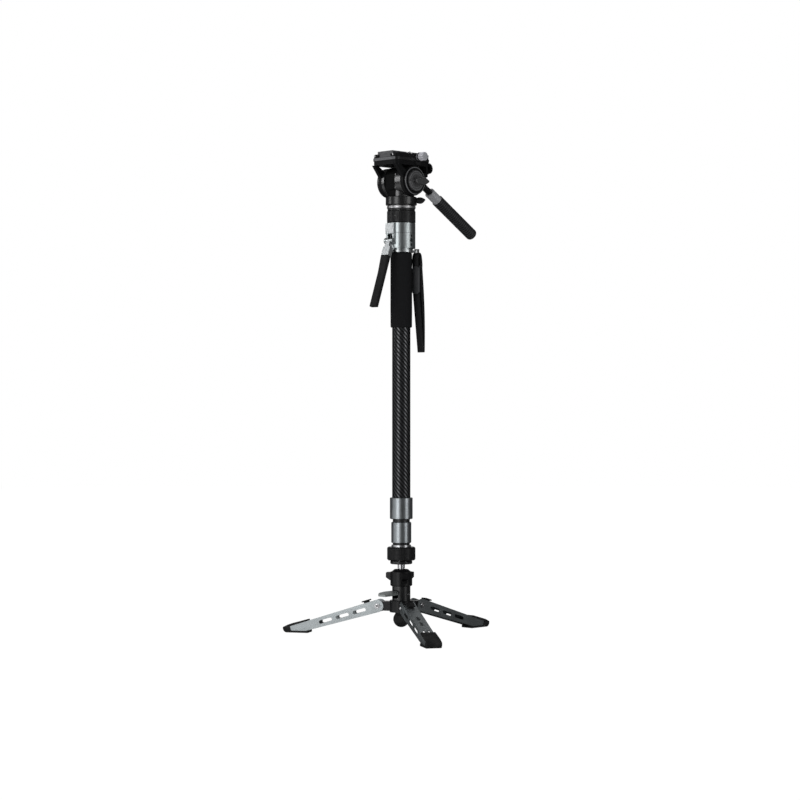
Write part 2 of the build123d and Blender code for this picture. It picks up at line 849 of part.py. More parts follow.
with BuildPart() as tube_1:
    tube(tube_1_r, tube_1_r - tube_wall, tube_1_bottom, tube_1_top)
    with BuildSketch(Plane.XZ):
        with Locations((0, lever_z + toe_half)):
            Rectangle(lever_slot_width, 2 * lever_slot_half + 2 * toe_half)
    extrude(amount=tube_1_r + overrun, mode=Mode.SUBTRACT)
keep(tube_1, "tube_1")

# Bushes on the tops of the inner tubes, bored for the release rod
for name, (outer, inner, top) in bush_reach.items():
    with BuildPart() as bush:
        tube(outer - tube_wall - run_fit, 0, top, top + bush_height)
        tube(inner - tube_wall - fit, 0, top - bush_spigot, top)
        bore(rod_r + run_fit, top - bush_spigot - overrun, top + bush_height + overrun)
    keep(bush, name)

# Collars that clamp each tube's lower end round the next tube
with BuildPart() as collar_2:
    tube(collar_2_r, 0, collar_2_bottom, collar_2_top)
    chamfer(collar_2.edges().filter_by(GeomType.CIRCLE), collar_chamfer)
    tube(collar_lip_r, 0, collar_lip_bottom, collar_lip_top)
    bore(tube_3_r + run_fit, collar_lip_bottom - overrun, tube_2_bottom)
    bore(tube_2_r + fit, tube_2_bottom, collar_lip_top + overrun)
keep(collar_2, "collar_2")

with BuildPart() as collar_1:
    tube(collar_1_r, 0, collar_1_bottom, collar_1_top)
    chamfer(collar_1.edges().filter_by(GeomType.CIRCLE), collar_chamfer)
    bore(tube_2_r + run_fit, collar_1_bottom - overrun, tube_1_bottom)
    bore(tube_1_r + fit, tube_1_bottom, collar_1_top + overrun)
keep(collar_1, "collar_1")

with BuildPart() as foam_grip:
    tube(foam_r, 0, foam_bottom, foam_top)
    fillet(foam_grip.edges().filter_by(GeomType.CIRCLE), foam_fillet)
    bore(tube_1_r + fit, foam_bottom - overrun, foam_top + overrun)
keep(foam_grip, "foam_grip")

# Strap ring with its eyelet
eyelet = compass(strap_azimuth) * eyelet_reach
with BuildPart() as strap_ring:
    with BuildSketch(Plane.XY.offset(strap_ring_bottom)):
        Circle(strap_ring_r)
        with Locations((eyelet.X, eyelet.Y)):
            Circle(eyelet_r)
            Circle(eyelet_hole_r, mode=Mode.SUBTRACT)
        Circle(tube_1_r + fit, mode=Mode.SUBTRACT)
    extrude(amount=strap_ring_top - strap_ring_bottom)
keep(strap_ring, "strap_ring")

# Wrist strap: a bent clip through the eyelet, a slider pinned to it and the doubled band
clip_plane = side_plane(strap_azimuth, 0, 0, 0)
clip_reach = eyelet_reach + eyelet_r + clip_wire_r + face_gap
clip_over = strap_ring_top + face_gap
strap_pivot = compass(strap_azimuth) * clip_reach
with BuildPart() as strap_clip:
    with BuildSketch(clip_plane):
        with BuildLine():
            Polyline((eyelet_reach - clip_wire_r, strap_ring_bottom - clip_wire_r),
                     (eyelet_reach - clip_wire_r, clip_over + 2 * clip_wire_r),
                     (clip_reach + clip_wire_r, clip_over + 2 * clip_wire_r),
                     (clip_reach + clip_wire_r, clip_top), (clip_reach - clip_wire_r, clip_top),
                     (clip_reach - clip_wire_r, clip_over), (eyelet_reach + clip_wire_r, clip_over),
                     (eyelet_reach + clip_wire_r, strap_ring_bottom - clip_wire_r), close=True)
        make_face()
    extrude(amount=clip_wire_r, both=True)
    with BuildSketch(Plane.YZ.offset(strap_pivot.X)):
        with Locations((strap_pivot.Y, (strap_pivot_z + clip_top) / 2)):
            Rectangle(2 * clip_wire_r, clip_top - strap_pivot_z)
        with Locations((strap_pivot.Y, strap_pivot_z)):
            Circle(strap_pin_r + clip_wire_r)
    extrude(amount=clip_width / 2, both=True)
    with BuildSketch(Plane.YZ.offset(strap_pivot.X)):
        with Locations((strap_pivot.Y, strap_pivot_z)):
            Circle(strap_pin_r + run_fit)
    extrude(amount=clip_width, both=True, mode=Mode.SUBTRACT)
keep(strap_clip, "strap_clip")

with BuildPart() as strap_slider:
    with BuildSketch(Plane.XZ.offset(-slider_y)):
        with Locations((slider_x, (slider_top + slider_bottom) / 2)):
            RectangleRounded(slider_width, slider_top - slider_bottom, slider_corner)
    extrude(amount=slider_thickness / 2, both=True)
    fillet(strap_slider.edges().group_by(Axis.Y)[0], edge)
    for hand in (1, -1):
        with BuildSketch(Plane.YZ.offset(strap_pivot.X + hand * (clip_width / 2 + face_gap))):
            with Locations(((slider_y + strap_pivot.Y) / 2, strap_pivot_z - strap_cheek)):
                Rectangle(strap_pivot.Y - slider_y, 2 * strap_cheek)
            with Locations((strap_pivot.Y, strap_pivot_z)):
                Circle(2 * strap_cheek)
        extrude(amount=hand * strap_cheek)
    with BuildSketch(Plane.YZ.offset(strap_pivot.X)):
        with Locations((strap_pivot.Y, strap_pivot_z)):
            Circle(strap_pin_r)
    extrude(amount=clip_width / 2 + face_gap, both=True)
keep(strap_slider, "strap_slider")

band_length = sqrt((slider_bottom - band_end_z) ** 2 + 2 * band_lean ** 2)
band_fall = Vector(band_lean, band_lean, band_end_z - slider_bottom) / band_length
with BuildPart() as strap_band:
    with BuildSketch(Plane(origin=(slider_x, slider_y, slider_bottom), x_dir=(1, 0, 0), z_dir=band_fall)
                     .offset(-slider_thickness)):
        RectangleRounded(band_width, band_thickness, band_thickness / 2 - fit)
    extrude(amount=band_length + 2 * slider_thickness)
    split(bisect_by=Plane.XY.offset(slider_bottom - fit), keep=Keep.BOTTOM)
    split(bisect_by=Plane.XY.offset(band_end_z), keep=Keep.TOP)
keep(strap_band, "strap_band")

# Release body: sleeve over the tube's top, front block, ears for the lever and side holes
front_side = side_plane(0, 0, 0, 0)
pocket_front = release_r + block_reach
pocket_bottom = release_skirt_bottom - overrun
with BuildPart() as release_body:
    tube(release_skirt_r, 0, release_skirt_bottom, release_bottom)
    tube(release_r, 0, release_bottom, release_top)
    with BuildSketch(Plane.XZ):
        with Locations((release_r, release_seam)):
            Rectangle(2 * seam_depth, seam_width)
    revolve(axis=Axis.Z, mode=Mode.SUBTRACT)
    tube(release_boss_r, 0, release_top, release_boss_top)
    with BuildSketch(front_side):
        with Locations((block_reach / 2, (block_bottom + release_top - edge) / 2)):
            Rectangle(block_reach, release_top - edge - block_bottom)
    extrude(amount=block_width / 2, both=True)
    with BuildSketch(front_side):
        with Locations((lever_y / 2, (ear_bottom + block_bottom) / 2)):
            Rectangle(lever_y, block_bottom - ear_bottom)
        with Locations((lever_y, lever_z)):
            Circle(lever_z - ear_bottom)
    extrude(amount=ear_outer, both=True)
    with BuildSketch(front_side):
        with Locations(((pocket_reach + pocket_front) / 2, (pocket_bottom + block_bottom) / 2)):
            Rectangle(pocket_front - pocket_reach, block_bottom - pocket_bottom)
    extrude(amount=ear_inner, both=True, mode=Mode.SUBTRACT)
    with BuildSketch(front_side):
        with Locations((lever_y / 2, lever_z + toe_half)):
            Rectangle(lever_y, 2 * lever_slot_half + 2 * toe_half)
    extrude(amount=lever_slot_width / 2, both=True, mode=Mode.SUBTRACT)
    with BuildSketch(front_side):
        with Locations((lever_y, lever_z)):
            Circle(lever_pin_r + fit)
    extrude(amount=block_width, both=True, mode=Mode.SUBTRACT)
    bore(tube_1_r + fit, release_skirt_bottom - overrun, tube_1_top + fit)
    bore(adapter_stud_r + fit, adapter_bottom - adapter_stud_drop - face_gap, release_boss_top + overrun)
    for height in side_hole_zs:
        with BuildSketch(radial_plane(90, release_r - side_hole_depth, height)):
            Circle(side_hole_r)
        extrude(amount=side_hole_depth + overrun, mode=Mode.SUBTRACT)
    with BuildSketch(radial_plane(90, release_r - side_hole_depth, camera_thread_z)):
        Circle(camera_thread_r)
    extrude(amount=side_hole_depth + overrun, mode=Mode.SUBTRACT)
keep(release_body, "release_body")

# Squeeze lever: hub and toe of metal, a plastic grip over its tongue, and the pin
lever_plane = side_plane(0, lever_y, lever_z, 90 - lever_angle)
with BuildPart() as lever_arm:
    with BuildSketch(lever_plane):
        Circle(lever_hub_r)
        with Locations((lever_start / 2, (lever_block_outer - lever_block_inner) / 2)):
            Rectangle(lever_start, lever_block_inner + lever_block_outer)
    extrude(amount=lever_hub_width / 2, both=True)
    with BuildSketch(lever_plane):
        with Locations(((lever_start + lever_block_end) / 2, (lever_block_outer - lever_block_inner) / 2)):
            Rectangle(lever_block_end - lever_start, lever_block_inner + lever_block_outer)
    extrude(amount=lever_width / 2, both=True)
    chamfer(lever_arm.edges().filter_by(Axis.X).group_by(Axis.Y)[0], edge * 2)
    with BuildSketch(front_side):
        with Locations(((rod_r + toe_gap + lever_y) / 2, lever_z)):
            Rectangle(lever_y - rod_r - toe_gap, 2 * toe_half)
    extrude(amount=toe_width / 2, both=True)
    with BuildSketch(lever_plane):
        with Locations(((lever_block_end + lever_tongue_end) / 2, 0)):
            Rectangle(lever_tongue_end - lever_block_end, lever_tongue_thickness)
    extrude(amount=lever_tongue_width / 2, both=True)
    with BuildSketch(lever_plane):
        Circle(lever_pin_r + fit)
    extrude(amount=lever_width, both=True, mode=Mode.SUBTRACT)
keep(lever_arm, "lever_arm")

with BuildPart() as lever_grip:
    with BuildSketch(lever_plane):
        with BuildLine():
            Polyline((lever_block_end + fit, -lever_thickness / 2), (lever_end, -lever_thickness / 2),
                     (lever_end, lever_thickness / 2), (lever_flare_end, lever_thickness / 2),
                     (lever_block_end + fit, lever_thickness / 2 + lever_flare), close=True)
        make_face()
    extrude(amount=lever_width / 2, both=True)
    fillet(lever_grip.edges().filter_by(lambda edge_line: edge_line.length > lever_width + fit), lever_corner)
    with BuildSketch(lever_plane):
        with Locations(((lever_block_end + lever_tongue_end) / 2, 0)):
            Rectangle(lever_tongue_end - lever_block_end + 2 * fit, lever_tongue_thickness + 2 * fit)
    extrude(amount=lever_tongue_width / 2 + fit, both=True, mode=Mode.SUBTRACT)
keep(lever_grip, "lever_grip")

with BuildPart() as lever_pin:
    with BuildSketch(front_side):
        with Locations((lever_y, lever_z)):
            Circle(lever_pin_r)
    extrude(amount=ear_outer, both=True)
keep(lever_pin, "lever_pin")

# Release rod that the lever's toe lifts
rod_head_bottom = lever_z + toe_half + face_gap
with BuildPart() as release_rod:
    tube(rod_r, 0, rod_bottom, rod_head_bottom)
    tube(rod_head_r, 0, rod_head_bottom, rod_head_bottom + rod_head)
keep(release_rod, "release_rod")

# Lock ring round the release body's boss
with BuildPart() as head_lock_ring:
    tube(lock_ring_r, 0, lock_ring_bottom, lock_ring_top)
    chamfer(head_lock_ring.edges().filter_by(GeomType.CIRCLE), lock_ring_chamfer)
    with BuildSketch(Plane.XY.offset(lock_ring_bottom)):
        with PolarLocations(lock_ring_r + knurl_r / 2, ring_knurls):
            Circle(knurl_r)
    extrude(amount=lock_ring_top - lock_ring_bottom, mode=Mode.SUBTRACT)
    bore(release_boss_r + run_fit, lock_ring_bottom - overrun, lock_ring_top + overrun)
keep(head_lock_ring, "head_lock_ring")

# Adapter with the stud that carries the head
with BuildPart() as head_adapter:
    tube(adapter_low_r, 0, adapter_bottom, adapter_step)
    tube(adapter_top_r, 0, adapter_step, adapter_top)
    chamfer(head_adapter.faces().sort_by(Axis.Z)[-1].edges(), edge)
    tube(adapter_stud_r, 0, adapter_bottom - adapter_stud_drop, adapter_top + adapter_stud_rise)
keep(head_adapter, "head_adapter")

# Pan base with its spindle, and the wing that locks it
with BuildPart() as pan_base:
    tube(pan_base_r, 0, pan_base_bottom, pan_base_top)
    chamfer(pan_base.edges().filter_by(GeomType.CIRCLE), edge * 2)
    tube(pan_neck_r, 0, adapter_top, pan_base_bottom)
    tube(pan_spindle_r, 0, pan_base_top, pan_base_top + pan_spindle_rise)
    bore(adapter_stud_r + fit, adapter_top - overrun, adapter_top + adapter_stud_rise + fit)
    with BuildSketch(radial_plane(wing_azimuth, pan_base_r - wing_seat - face_gap, wing_z)):
        Circle(wing_shaft_r + fit)
    extrude(amount=wing_seat + overrun, mode=Mode.SUBTRACT)
keep(pan_base, "pan_base")

wing_root = pan_base_r + face_gap
with BuildPart() as pan_lock_wing:
    with BuildSketch(radial_plane(wing_azimuth, pan_base_r - wing_seat, wing_z)):
        Circle(wing_shaft_r)
    extrude(amount=wing_seat + 2 * wing_thickness)
    with BuildSketch(radial_plane(wing_azimuth, wing_root, wing_z)):
        Circle(wing_neck_r)
    extrude(amount=wing_thickness)
    with BuildSketch(side_plane(wing_azimuth, 0, wing_z, 0)):
        with BuildLine():
            upper = Spline((wing_root, wing_root_half), ((wing_root + wing_reach) / 2, wing_half),
                           (wing_reach, wing_tip_rise))
            lower = Spline((wing_reach, wing_tip_rise), ((wing_root + wing_reach) / 2, -wing_half),
                           (wing_root, -wing_root_half))
            Line(lower @ 1, upper @ 0)
        make_face()
    extrude(amount=wing_thickness / 2, both=True)
keep(pan_lock_wing, "pan_lock_wing")

# Head tower: the drum on its foot, with a flat at the front
tower_bottom = pan_base_top + face_gap
with BuildPart() as head_tower:
    with BuildSketch(Plane.YZ):
        with Locations((0, tilt_z)):
            Circle(drum_r)
    extrude(amount=drum_half, both=True)
    fillet(head_tower.edges().filter_by(GeomType.CIRCLE), edge)
    tube(drum_half - edge, 0, tower_bottom, tilt_z - drum_flat_half)
    split(bisect_by=Plane.XY.offset(tower_bottom), keep=Keep.TOP)
    with BuildSketch(Plane.XZ.offset(drum_r - drum_flat_depth)):
        with Locations(((drum_flat_high - drum_flat_low) / 2, tilt_z)):
            Rectangle(drum_flat_low + drum_flat_high, 2 * drum_flat_half)
    extrude(amount=drum_flat_depth + overrun, mode=Mode.SUBTRACT)
    with BuildSketch(Plane.YZ):
        with Locations((0, tilt_z)):
            Circle(axle_r + fit)
    extrude(amount=drum_half + overrun, both=True, mode=Mode.SUBTRACT)
    bore(pan_spindle_r + run_fit, tower_bottom - overrun, pan_base_top + pan_spindle_rise + face_gap)
keep(head_tower, "head_tower")

with BuildPart() as tilt_axle:
    with BuildSketch(Plane.YZ):
        with Locations((0, tilt_z)):
            Circle(axle_r)
    extrude(amount=plate_outer - edge, both=True)
keep(tilt_axle, "tilt_axle")

# Platform and yoke in one casting: decks, rails, side plates and rosette bosses
platform_length = platform_front + platform_rear
platform_y = (platform_rear - platform_front) / 2
core_inset = trim_wall + fit
deck_levels = ((platform_bottom, trim_bottom, platform_inset), (trim_bottom, trim_top, core_inset),
               (trim_top, deck_top, platform_inset))
deck_underside = platform_bottom + edge
with BuildPart() as platform_yoke:
    for low, high, inset in deck_levels:
        with BuildSketch(Plane.XY.offset(low)):
            with Locations((0, platform_y)):
                RectangleRounded(platform_width - 2 * inset, platform_length - 2 * inset,
                                 platform_corner - inset)
        extrude(amount=high - low)
    rail_width = platform_width / 2 - platform_inset - rail_inner
    for hand in (1, -1):
        with BuildSketch(Plane.XY.offset(deck_top)):
            with Locations((hand * (rail_inner + rail_width / 2), (rail_rear - rail_front) / 2)):
                RectangleRounded(rail_width, rail_front + rail_rear, edge)
        extrude(amount=rail_top - deck_top)
        with BuildSketch(Plane.YZ.offset(hand * plate_inner)):
            with Locations((0, tilt_z)):
                Circle(yoke_hub_r)
            with BuildLine():
                Polyline((-arm_top_front, deck_underside), (-arm_top_back, deck_underside),
                         (-arm_foot_back, arm_foot_back_z), (-arm_foot_front, arm_foot_front_z), close=True)
            make_face()
            with BuildLine():
                Polyline((link_high_y, link_high_z), (boss_wall_front, boss_wall_low),
                         (boss_wall_front, deck_underside), (boss_wall_back, deck_underside),
                         (boss_wall_back, link_end_z), (link_low_y, link_low_z), close=True)
            make_face()
        extrude(amount=hand * (plate_outer - plate_inner))
        with BuildSketch(Plane.YZ.offset(hand * boss_inner)):
            with Locations((boss_y, boss_z)):
                Circle(boss_r)
            with Locations(((boss_wall_front + boss_y) / 2, (boss_wall_low + deck_underside) / 2)):
                Rectangle(boss_y - boss_wall_front, deck_underside - boss_wall_low)
        extrude(amount=hand * (boss_outer - boss_inner))
        with BuildSketch(Plane.YZ.offset(hand * boss_inner)):
            with Locations(((boss_wall_front + boss_wall_back) / 2, (boss_wall_low + deck_underside) / 2)):
                Rectangle(boss_wall_back - boss_wall_front, deck_underside - boss_wall_low)
        extrude(amount=hand * (plate_outer - boss_inner))
        with BuildSketch(Plane.YZ.offset(hand * boss_outer)):
            with Locations((boss_y, boss_z)):
                with PolarLocations((boss_r + boss_bolt_r + edge) / 2, tooth_count):
                    Rectangle(boss_r, tooth_width)
        extrude(amount=-hand * tooth_depth, mode=Mode.SUBTRACT)
        with BuildSketch(Plane.YZ.offset(hand * boss_outer)):
            with Locations((boss_y, boss_z)):
                Circle(boss_r + face_gap)
        extrude(amount=hand * platform_width, mode=Mode.SUBTRACT)
    with BuildSketch(Plane.YZ):
        with Locations((0, tilt_z)):
            Circle(axle_r + run_fit)
        with Locations((boss_y, boss_z)):
            Circle(boss_bolt_r + fit)
    extrude(amount=platform_width, both=True, mode=Mode.SUBTRACT)
    with BuildSketch(Plane.XZ):
        with BuildLine():
            Polyline((-dovetail_half_bottom - run_fit, dovetail_bottom - run_fit),
                     (dovetail_half_bottom + run_fit, dovetail_bottom - run_fit),
                     (dovetail_half_top + run_fit, plate_bottom),
                     (-dovetail_half_top - run_fit, plate_bottom), close=True)
        make_face()
    extrude(amount=platform_length, both=True, mode=Mode.SUBTRACT)
    with BuildSketch(Plane.YZ.offset(platform_width / 2 - platform_inset - clamp_shaft_depth)):
        with Locations((clamp_y, clamp_z)):
            Circle(clamp_shaft_r + fit)
    extrude(amount=clamp_shaft_depth + overrun, mode=Mode.SUBTRACT)
    with BuildSketch(Plane.YZ.offset(platform_width / 2 - platform_inset - button_depth)):
        with Locations((button_y, button_z)):
            Rectangle(button_width + 2 * run_fit, button_height + 2 * run_fit)
    extrude(amount=button_depth + overrun, mode=Mode.SUBTRACT)
keep(platform_yoke, "platform_yoke")

with BuildPart() as platform_trim:
    with BuildSketch(Plane.XY.offset(trim_bottom + fit)):
        with Locations((0, platform_y)):
            RectangleRounded(platform_width, platform_length, platform_corner)
            RectangleRounded(platform_width - 2 * trim_wall, platform_length - 2 * trim_wall,
                             platform_corner - trim_wall, mode=Mode.SUBTRACT)
    extrude(amount=trim_top - trim_bottom - 2 * fit)
keep(platform_trim, "platform_trim")

# Caps over the yoke's hubs, the right one with a ring groove and a hole for the knob
cap_start = plate_outer + fit
with BuildPart() as tilt_caps:
    for hand, radius in ((1, cap_right_r), (-1, cap_left_r)):
        with BuildSketch(Plane.YZ.offset(hand * cap_start)):
            with Locations((0, tilt_z)):
                Circle(radius)
        extrude(amount=hand * (cap_outer - cap_start))
    with BuildSketch(Plane.YZ.offset(cap_outer)):
        with Locations((0, tilt_z)):
            Circle(cap_ring_r + cap_ring_width)
            Circle(cap_ring_r, mode=Mode.SUBTRACT)
    extrude(amount=-cap_ring_depth, mode=Mode.SUBTRACT)
    with BuildSketch(Plane.YZ.offset(cap_start)):
        with Locations((0, tilt_z)):
            Circle(knob_shaft_r + run_fit)
    extrude(amount=cap_outer, mode=Mode.SUBTRACT)
keep(tilt_caps, "tilt_caps")

# Tilt lock knob with its teardrop lever
with BuildPart() as tilt_knob:
    with BuildSketch(Plane.YZ.offset(cap_outer + face_gap)):
        with Locations((0, tilt_z)):
            Circle(knob_r)
    extrude(amount=knob_disc)
    fillet(tilt_knob.faces().sort_by(Axis.X)[-1].edges(), edge)
    with BuildSketch(Plane.YZ.offset(knob_face)):
        with Locations((-knob_r / 2 + edge, tilt_z)):
            Rectangle(knob_r - 2 * edge, knob_rib)
    extrude(amount=knob_rib)
    with BuildSketch(Plane.YZ.offset(knob_face)):
        with Locations((0, tilt_z)):
            Circle(knob_boss_r)
        with BuildLine():
            back = ThreePointArc((knob_tip - knob_tip_half, tilt_z + knob_tip_half),
                                 (knob_lever_swell, tilt_z + knob_lever_half), (0, tilt_z + knob_rib))
            belly = ThreePointArc((0, tilt_z - knob_rib), (knob_lever_swell, tilt_z - knob_lever_half),
                                  (knob_tip - knob_tip_half, tilt_z - knob_tip_half))
            ThreePointArc(belly @ 1, (knob_tip, tilt_z), back @ 0)
            Line(back @ 1, belly @ 0)
        make_face()
    extrude(amount=knob_lever_top - knob_face)
    fillet(tilt_knob.faces().sort_by(Axis.X)[-1].edges(), edge * 2)
    with BuildSketch(Plane.YZ.offset(plate_outer)):
        with Locations((0, tilt_z)):
            Circle(knob_shaft_r)
    extrude(amount=cap_outer + face_gap - plate_outer)
keep(tilt_knob, "tilt_knob")

# Clamp knob and safety button on the platform's side
platform_side = platform_width / 2 - platform_inset
clamp_face = platform_width / 2 + face_gap
with BuildPart() as clamp_knob:
    with BuildSketch(Plane.YZ.offset(platform_side - clamp_shaft_depth + face_gap)):
        with Locations((clamp_y, clamp_z)):
            Circle(clamp_shaft_r)
    extrude(amount=clamp_face - platform_side + clamp_shaft_depth)
    with BuildSketch(Plane.YZ.offset(clamp_face)):
        with Locations((clamp_y, clamp_z)):
            Circle(clamp_flange_r)
    extrude(amount=clamp_flange)
    with BuildSketch(Plane.YZ.offset(clamp_face + clamp_flange)):
        with Locations((clamp_y, clamp_z)):
            Circle(clamp_r)
    extrude(amount=clamp_length)
    chamfer(clamp_knob.faces().sort_by(Axis.X)[-1].edges(), edge)
keep(clamp_knob, "clamp_knob")

with BuildPart() as safety_button:
    with BuildSketch(Plane.YZ.offset(platform_side - button_depth + button_proud)):
        with Locations((button_y, button_z)):
            Rectangle(button_width, button_height)
    extrude(amount=button_depth)
    fillet(safety_button.edges().filter_by(Axis.X), edge * 2)
keep(safety_button, "safety_button")

# Quick plate on its dovetail, slotted for the camera screw
plate_y = (plate_rear - plate_front) / 2
with BuildPart() as quick_plate:
    with BuildSketch(Plane.XY.offset(plate_bottom)):
        with Locations((0, plate_y)):
            RectangleRounded(2 * plate_half, plate_front + plate_rear, edge * 3)
    extrude(amount=plate_top - plate_bottom)
    with BuildSketch(Plane.XZ.offset(plate_front - edge)):
        with BuildLine():
            Polyline((-dovetail_half_bottom, dovetail_bottom), (dovetail_half_bottom, dovetail_bottom),
                     (dovetail_half_top, plate_bottom), (-dovetail_half_top, plate_bottom), close=True)
        make_face()
    extrude(amount=-plate_front - plate_rear + 2 * edge)
    with BuildSketch(Plane.XY.offset(dovetail_bottom)):
        with Locations((0, -slot_y)):
            SlotOverall(head_slot_length, head_slot_width, rotation=90)
    extrude(amount=head_slot_top - dovetail_bottom, mode=Mode.SUBTRACT)
    with BuildSketch(Plane.XY.offset(dovetail_bottom)):
        with Locations((0, -slot_y)):
            SlotOverall(slot_length, slot_width, rotation=90)
        with Locations((0, locator_y)):
            Circle(locator_r + run_fit)
    extrude(amount=plate_top - dovetail_bottom + overrun, mode=Mode.SUBTRACT)
keep(quick_plate, "quick_plate")

with BuildPart() as camera_screw:
    with BuildSketch(Plane.XY.offset(screw_head_bottom)):
        with Locations((0, -screw_y)):
            Circle(screw_head_r)
    extrude(amount=screw_head_height)
    with BuildSketch(Plane.XY.offset(head_slot_top - run_fit)):
        with Locations((0, -screw_y)):
            Circle(screw_neck_r)
    extrude(amount=plate_top + screw_lead - head_slot_top + run_fit)
    with BuildSketch(Plane.XY.offset(plate_top + screw_lead)):
        with Locations((0, -screw_y)):
            Circle(screw_r)
    extrude(amount=screw_rise - screw_lead)
keep(camera_screw, "camera_screw")

with BuildPart() as locating_pin:
    with BuildSketch(Plane.XY.offset(plate_top - locator_seat)):
        with Locations((0, locator_y)):
            Circle(locator_r)
    extrude(amount=locator_seat + locator_rise)
    chamfer(locating_pin.faces().sort_by(Axis.Z)[-1].edges(), edge)
keep(locating_pin, "locating_pin")

# Pan handle on the left rosette: arm, collar, grip and the bolt that clamps it
handle_along = Vector(0, cos(radians(handle_drop)), -sin(radians(handle_drop)))
handle_plane = Plane(origin=(-handle_x, boss_y, boss_z), x_dir=(1, 0, 0), z_dir=handle_along)
with BuildPart() as handle_arm:
    with BuildSketch(Plane.YZ.offset(-handle_x)):
        with Locations((boss_y, boss_z)):
            Circle(boss_r)
    extrude(amount=handle_hub_half, both=True)
    with BuildSketch(handle_plane):
        Circle(handle_rod_r)
    extrude(amount=handle_collar_start)
    with BuildSketch(handle_plane.offset(handle_collar_start)):
        Circle(handle_core_r)
    extrude(amount=handle_core_end - handle_collar_start)
    with BuildSketch(Plane.YZ.offset(-handle_x)):
        with Locations((boss_y, boss_z)):
            Circle(boss_bolt_r + fit)
    extrude(amount=handle_x, both=True, mode=Mode.SUBTRACT)
keep(handle_arm, "handle_arm")

with BuildPart() as handle_collar:
    with BuildSketch(handle_plane.offset(handle_collar_start + fit)):
        Circle(handle_collar_r)
        Circle(handle_core_r + fit, mode=Mode.SUBTRACT)
    extrude(amount=handle_collar_end - handle_collar_start - fit)
keep(handle_collar, "handle_collar")

with BuildPart() as handle_grip:
    with BuildSketch(handle_plane.offset(handle_collar_end + fit)):
        Circle(handle_grip_r)
    extrude(amount=handle_end - handle_collar_end - fit)
    fillet(handle_grip.edges().filter_by(GeomType.CIRCLE).sort_by(Axis.Y)[-1:], handle_grip_r / 2)
    with BuildSketch(handle_plane.offset(handle_collar_end)):
        Circle(handle_core_r + fit)
    extrude(amount=handle_core_end - handle_collar_end + fit, mode=Mode.SUBTRACT)
keep(handle_grip, "handle_grip")

bolt_face = handle_x + handle_hub_half + fit
with BuildPart() as handle_bolt:
    with BuildSketch(Plane.YZ.offset(-boss_inner)):
        with Locations((boss_y, boss_z)):
            Circle(boss_bolt_r)
    extrude(amount=boss_inner - bolt_face)
    with BuildSketch(Plane.YZ.offset(-bolt_face)):
        with Locations((boss_y, boss_z)):
            Circle(handle_bolt_head_r)
    extrude(amount=-handle_bolt_head)
keep(handle_bolt, "handle_bolt")
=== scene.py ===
import math

import bmesh
import bpy
from mathutils import Matrix, Vector


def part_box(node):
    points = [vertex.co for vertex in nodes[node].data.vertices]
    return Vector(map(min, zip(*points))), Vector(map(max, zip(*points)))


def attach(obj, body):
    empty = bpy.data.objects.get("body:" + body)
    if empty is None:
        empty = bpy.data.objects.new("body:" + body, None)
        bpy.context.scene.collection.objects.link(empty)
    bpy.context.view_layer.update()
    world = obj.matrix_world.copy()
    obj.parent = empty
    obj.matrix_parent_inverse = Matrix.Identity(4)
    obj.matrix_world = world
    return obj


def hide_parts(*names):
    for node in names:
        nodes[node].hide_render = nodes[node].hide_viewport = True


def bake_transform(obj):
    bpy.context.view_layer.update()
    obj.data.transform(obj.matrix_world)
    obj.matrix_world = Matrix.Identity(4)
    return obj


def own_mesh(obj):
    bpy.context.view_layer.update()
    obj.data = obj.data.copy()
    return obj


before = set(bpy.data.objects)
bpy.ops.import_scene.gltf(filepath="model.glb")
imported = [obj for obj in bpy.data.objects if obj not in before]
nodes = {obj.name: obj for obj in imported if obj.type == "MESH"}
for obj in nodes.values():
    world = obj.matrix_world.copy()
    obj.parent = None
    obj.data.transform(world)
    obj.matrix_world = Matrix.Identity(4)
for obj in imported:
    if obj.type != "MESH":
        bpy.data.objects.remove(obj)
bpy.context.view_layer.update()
scene = bpy.context.scene
scene.view_settings.view_transform = "Standard"

# Camera: level with the middle of the column, a long lens from the front left of the head,
# so that the two front legs and the pan handle spread to either side of the column.
view_azimuth = math.radians(45)
camera_distance = 3.462
camera_height = 0.3854
camera_shift = 0.0021
camera_data = bpy.data.cameras.new("camera")
camera_data.lens = 95
camera_data.sensor_width = 36
camera_data.clip_start = 0.05
camera = bpy.data.objects.new("camera", camera_data)
camera.location = (camera_distance * math.sin(view_azimuth) - camera_shift * math.cos(view_azimuth),
                   -camera_distance * math.cos(view_azimuth) - camera_shift * math.sin(view_azimuth),
                   camera_height)
camera.rotation_euler = (math.radians(90), 0, view_azimuth)
scene.collection.objects.link(camera)
scene.camera = camera


